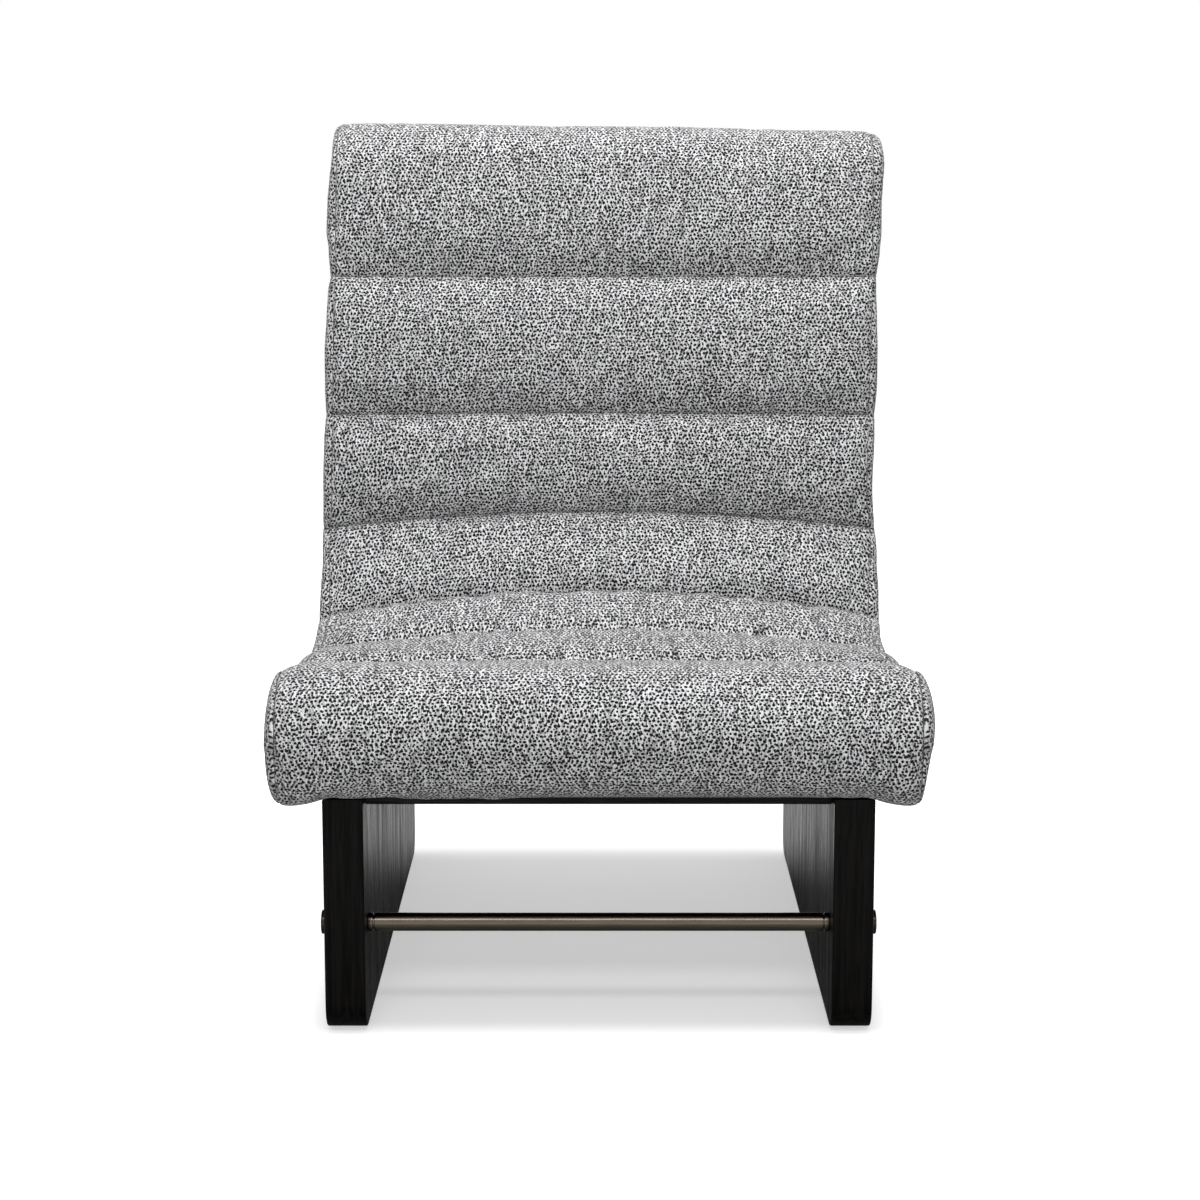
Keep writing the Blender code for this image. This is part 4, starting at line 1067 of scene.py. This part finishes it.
ROUNDING_STEPS = 6
CROWN_STEPS = 4
ROD_DEPTHS = {"front": -0.290, "rear": 0.350}
DARK_BRONZE = metal("brushed dark bronze", (0.150, 0.124, 0.098), 0.21, (30.0, 1500.0, 1500.0), 0.12)
BLACKENED_BRONZE = metal("blackened bronze", (0.045, 0.038, 0.031), 0.20, (600.0, 600.0, 600.0), 0.10)


def turned(profile, rounds=64):
    """A piece turned about X, from pairs of a length along it and a radius."""
    bm = bmesh.new()
    chain = [bm.verts.new((along, radius, 0.0)) for along, radius in profile]
    edges = [bm.edges.new(pair) for pair in zip(chain, chain[1:])]
    turn = {"cent": (0.0, 0.0, 0.0), "axis": (1.0, 0.0, 0.0), "angle": math.tau, "steps": rounds}
    bmesh.ops.spin(bm, geom=chain + edges, use_merge=True, use_duplicate=False, **turn)
    bmesh.ops.remove_doubles(bm, verts=bm.verts, dist=0.00001)
    bmesh.ops.recalc_face_normals(bm, faces=bm.faces)
    return bm


def set_down(bm, name, finish, place, facing=1):
    """Puts a turned piece in its place, facing +X or -X."""
    moved = Matrix.Translation(place) @ Matrix.Diagonal((facing, 1, 1, 1))
    bmesh.ops.transform(bm, matrix=moved, verts=bm.verts)
    bmesh.ops.recalc_face_normals(bm, faces=bm.faces)
    return finish_mesh(bm, name, finish)


def round_edge(along, radius, way):
    """The rounded edge of a turned piece, from its outside to its end face."""
    return [
        (along + way * TURNED_EDGE, radius),
        (along + way * TURNED_EDGE_MIDDLE, radius - TURNED_EDGE_MIDDLE),
        (along, radius - TURNED_EDGE),
    ]


ROD_SHOULDER = ROD_HALF - COLLAR_LENGTH - COLLAR_GROOVE
rod_end = round_edge(ROD_SHOULDER, ROD_RADIUS, -1) + [
    (ROD_SHOULDER, SPIGOT_RADIUS),
    (ROD_HALF, SPIGOT_RADIUS),
    (ROD_HALF, ROD_BORE),
    (ROD_HALF - ROD_BORE_DEPTH, ROD_BORE),
    (ROD_HALF - ROD_BORE_DEPTH, 0.0),
]
collar_profile = round_edge(-FIT, COLLAR_RADIUS, -1)[::-1] + round_edge(-COLLAR_LENGTH, COLLAR_RADIUS, 1)
collar_profile += [(-COLLAR_LENGTH, SPIGOT_RADIUS + FIT), (-FIT, SPIGOT_RADIUS + FIT), collar_profile[0]]
head_base = SLAB_THICKNESS + FIT
head_top = head_base + BOLT_HEAD_HEIGHT
flat_radius = BOLT_HEAD_RADIUS - BOLT_HEAD_EDGE
bolt_profile = []
for share in (i / CROWN_STEPS for i in range(CROWN_STEPS)):
    bolt_profile.append((head_top - BOLT_HEAD_CROWN * share**2, flat_radius * share))
for turn in (math.pi / 2 * i / ROUNDING_STEPS for i in range(ROUNDING_STEPS + 1)):
    rise = BOLT_HEAD_EDGE * (1.0 - math.cos(turn))
    bolt_profile.append((head_top - BOLT_HEAD_CROWN - rise, flat_radius + BOLT_HEAD_EDGE * math.sin(turn)))
bolt_profile += [(head_base, BOLT_HEAD_RADIUS), (head_base, BOLT_RADIUS), (-BOLT_REACH, BOLT_RADIUS)]
bolt_profile.append((-BOLT_REACH, 0.0))

for end, depth in ROD_DEPTHS.items():
    mirrored_end = [(-along, radius) for along, radius in reversed(rod_end)]
    rod = set_down(turned(mirrored_end + rod_end), f"{end}_rod", DARK_BRONZE, (0.0, depth, ROD_HEIGHT))
    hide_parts(f"{end}_stretcher_rod")
    for side, sign in (("left", -1), ("right", 1)):
        at_slab = (sign * SLAB_INNER, depth, ROD_HEIGHT)
        collar = set_down(turned(collar_profile), f"{end}_{side}_collar", DARK_BRONZE, at_slab, sign)
        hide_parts(f"{end}_{side}_stretcher_collar")
        bolt = set_down(turned(bolt_profile), f"{end}_{side}_bolt", BLACKENED_BRONZE, at_slab, sign)
        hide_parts(f"{end}_{side}_stretcher_bolt")

# Glides
# Small black nylon buttons nailed under the slabs.
BLACK_NYLON = speckled("black nylon", (0.018, 0.018, 0.019), (0.034, 0.034, 0.035), 500.0, 0.5, 0.0001)
give_finish(BLACK_NYLON, *(f"{place}_glide" for place in CORNERS))

# Room
# A pale floor that is clear from below, an even white surround, and four soft lamps: overhead, above the front,
# low in front and unseen by metal, and behind. The camera stands where the photograph's did.
SURROUND_LIGHT = 0.28
FLOOR_SIZE = 6.0
# The rectangle under the chair where the floor glows less, so that the chair's shadow shows only there: a partly
# painted shadow.
SHADE_HALF_WIDTH = 0.26
SHADE_FRONT = -0.28
SHADE_REAR = 0.36
SHADE_FADE = 0.11
SHADE_GLOW = 0.45
# How the floor glows in reflections, darkest under and in front of the chair: a painted shadow.
MIRRORED_SLOPE = 3.4
MIRRORED_START = 0.75
MIRRORED_GLOW = 0.06
AIM = (0.0, 0.0, 0.4)


def rays_of(tree):
    """Two masks: 1 for camera rays, and 1 for reflected or refracted rays."""
    ray = tree.nodes.new("ShaderNodeLightPath")
    bounced = work_out(tree, "MAXIMUM", ray.outputs["Is Glossy Ray"], ray.outputs["Is Transmission Ray"])
    return ray.outputs["Is Camera Ray"], bounced


surround = bpy.data.worlds.new("surround")
bpy.context.scene.world = surround
surround.use_nodes = True
sky = surround.node_tree
sky_light = sky.nodes["Background"]
sky_light.inputs["Color"].default_value = (1.0, 1.0, 1.0, 1.0)
white_seen = work_out(sky, "MAXIMUM", *rays_of(sky))
sky_strength = work_out(sky, "MULTIPLY_ADD", white_seen, 1.0 - SURROUND_LIGHT, SURROUND_LIGHT)
sky.links.new(sky_strength, sky_light.inputs["Strength"])

floor_mesh = bmesh.new()
bmesh.ops.create_grid(floor_mesh, x_segments=1, y_segments=1, size=FLOOR_SIZE)
floor = as_object("floor", floor_mesh)
PALE_FLOOR, floor_tree, floor_shader = new_finish("pale floor", (0.80, 0.80, 0.80), 0.9)
floor_shader.inputs["Specular IOR Level"].default_value = 0.0
floor_shader.inputs["Emission Color"].default_value = (1.0, 1.0, 1.0, 1.0)
floor_place = new_node(floor_tree, "TexCoord")
floor_spot = new_node(floor_tree, "SeparateXYZ", Vector=floor_place.outputs["Object"]).outputs
# Partly painted shadow: the floor glows less inside a rectangle under the chair, so that the chair's real shadow
# shows there. Elsewhere it glows white enough to hide any shadow.
off_side = work_out(floor_tree, "ABSOLUTE", floor_spot["X"])
off_side = work_out(floor_tree, "SUBTRACT", off_side, SHADE_HALF_WIDTH)
off_front = work_out(floor_tree, "SUBTRACT", SHADE_FRONT, floor_spot["Y"])
off_rear = work_out(floor_tree, "SUBTRACT", floor_spot["Y"], SHADE_REAR)
off_plan = work_out(floor_tree, "MAXIMUM", off_side, work_out(floor_tree, "MAXIMUM", off_front, off_rear))
far_off = ramp_between(floor_tree, off_plan, 0.0, SHADE_FADE)
seen, mirrored = rays_of(floor_tree)
seen_glow = work_out(floor_tree, "MULTIPLY_ADD", far_off, 1.0 - SHADE_GLOW, SHADE_GLOW)
seen_glow = work_out(floor_tree, "MULTIPLY", seen, seen_glow)
# Painted shadow seen in reflections: to glossy and refracted rays the floor hardly glows under and in front of the
# chair. It glows fully further out and behind the seat.
behind_seat = work_out(floor_tree, "MULTIPLY_ADD", floor_spot["Y"], MIRRORED_SLOPE, -MIRRORED_START)
off_mirrored = work_out(floor_tree, "MAXIMUM", off_plan, behind_seat)
far_mirrored = ramp_between(floor_tree, off_mirrored, 0.0, 1.0)
mirrored_glow = work_out(floor_tree, "MULTIPLY_ADD", far_mirrored, 1.0 - MIRRORED_GLOW, MIRRORED_GLOW)
mirrored_glow = work_out(floor_tree, "MULTIPLY", mirrored, mirrored_glow)
glow = work_out(floor_tree, "ADD", seen_glow, mirrored_glow)
floor_tree.links.new(glow, floor_shader.inputs["Emission Strength"])
bounce = mix_colours(floor_tree, seen, (0.30, 0.30, 0.30, 1.0), (0.95, 0.95, 0.95, 1.0))
floor_tree.links.new(bounce, floor_shader.inputs["Base Color"])
floor_side = new_node(floor_tree, "NewGeometry")
from_below = work_out(floor_tree, "MULTIPLY", seen, floor_side.outputs["Backfacing"])
clear = new_node(floor_tree, "BsdfTransparent")
either = new_node(floor_tree, "MixShader", Fac=from_below)
floor_tree.links.new(floor_shader.outputs["BSDF"], either.inputs[1])
floor_tree.links.new(clear.outputs["BSDF"], either.inputs[2])
floor_tree.links.new(either.outputs["Shader"], floor_tree.nodes["Material Output"].inputs["Surface"])
floor.data.materials.append(PALE_FLOOR)


def lamp(name, power, wide, tall, place, aim):
    """A soft light that looks at a point."""
    data = bpy.data.lights.new(name, "AREA")
    data.energy = power
    data.shape = "RECTANGLE"
    data.size = wide
    data.size_y = tall
    made = bpy.data.objects.new(name, data)
    made.location = place
    made.rotation_euler = (Vector(aim) - Vector(place)).to_track_quat("-Z", "Y").to_euler()
    bpy.context.scene.collection.objects.link(made)
    return made


lamp("overhead", 67.0, 1.8, 1.8, (0.0, -0.35, 2.9), AIM)
lamp("front strip", 26.5, 2.4, 0.42, (0.0, -3.1, 3.05), AIM)
fill = lamp("low front", 26.0, 1.4, 0.8, (0.0, -3.05, 0.60), (0.0, 0.0, 0.35))
fill.visible_glossy = False
lamp("rear", 9.0, 1.6, 1.6, (0.0, 3.2, 2.2), AIM)

camera_data = bpy.data.cameras.new("camera")
camera_data.sensor_width = 36.0
camera_data.lens = 77.8
camera = bpy.data.objects.new("camera", camera_data)
camera.location = (0.0013, -2.879, 0.8858)
camera.rotation_euler = (math.radians(80.39), 0.0, 0.0)
bpy.context.scene.collection.objects.link(camera)
bpy.context.scene.camera = camera
bpy.context.scene.view_settings.view_transform = "Standard"
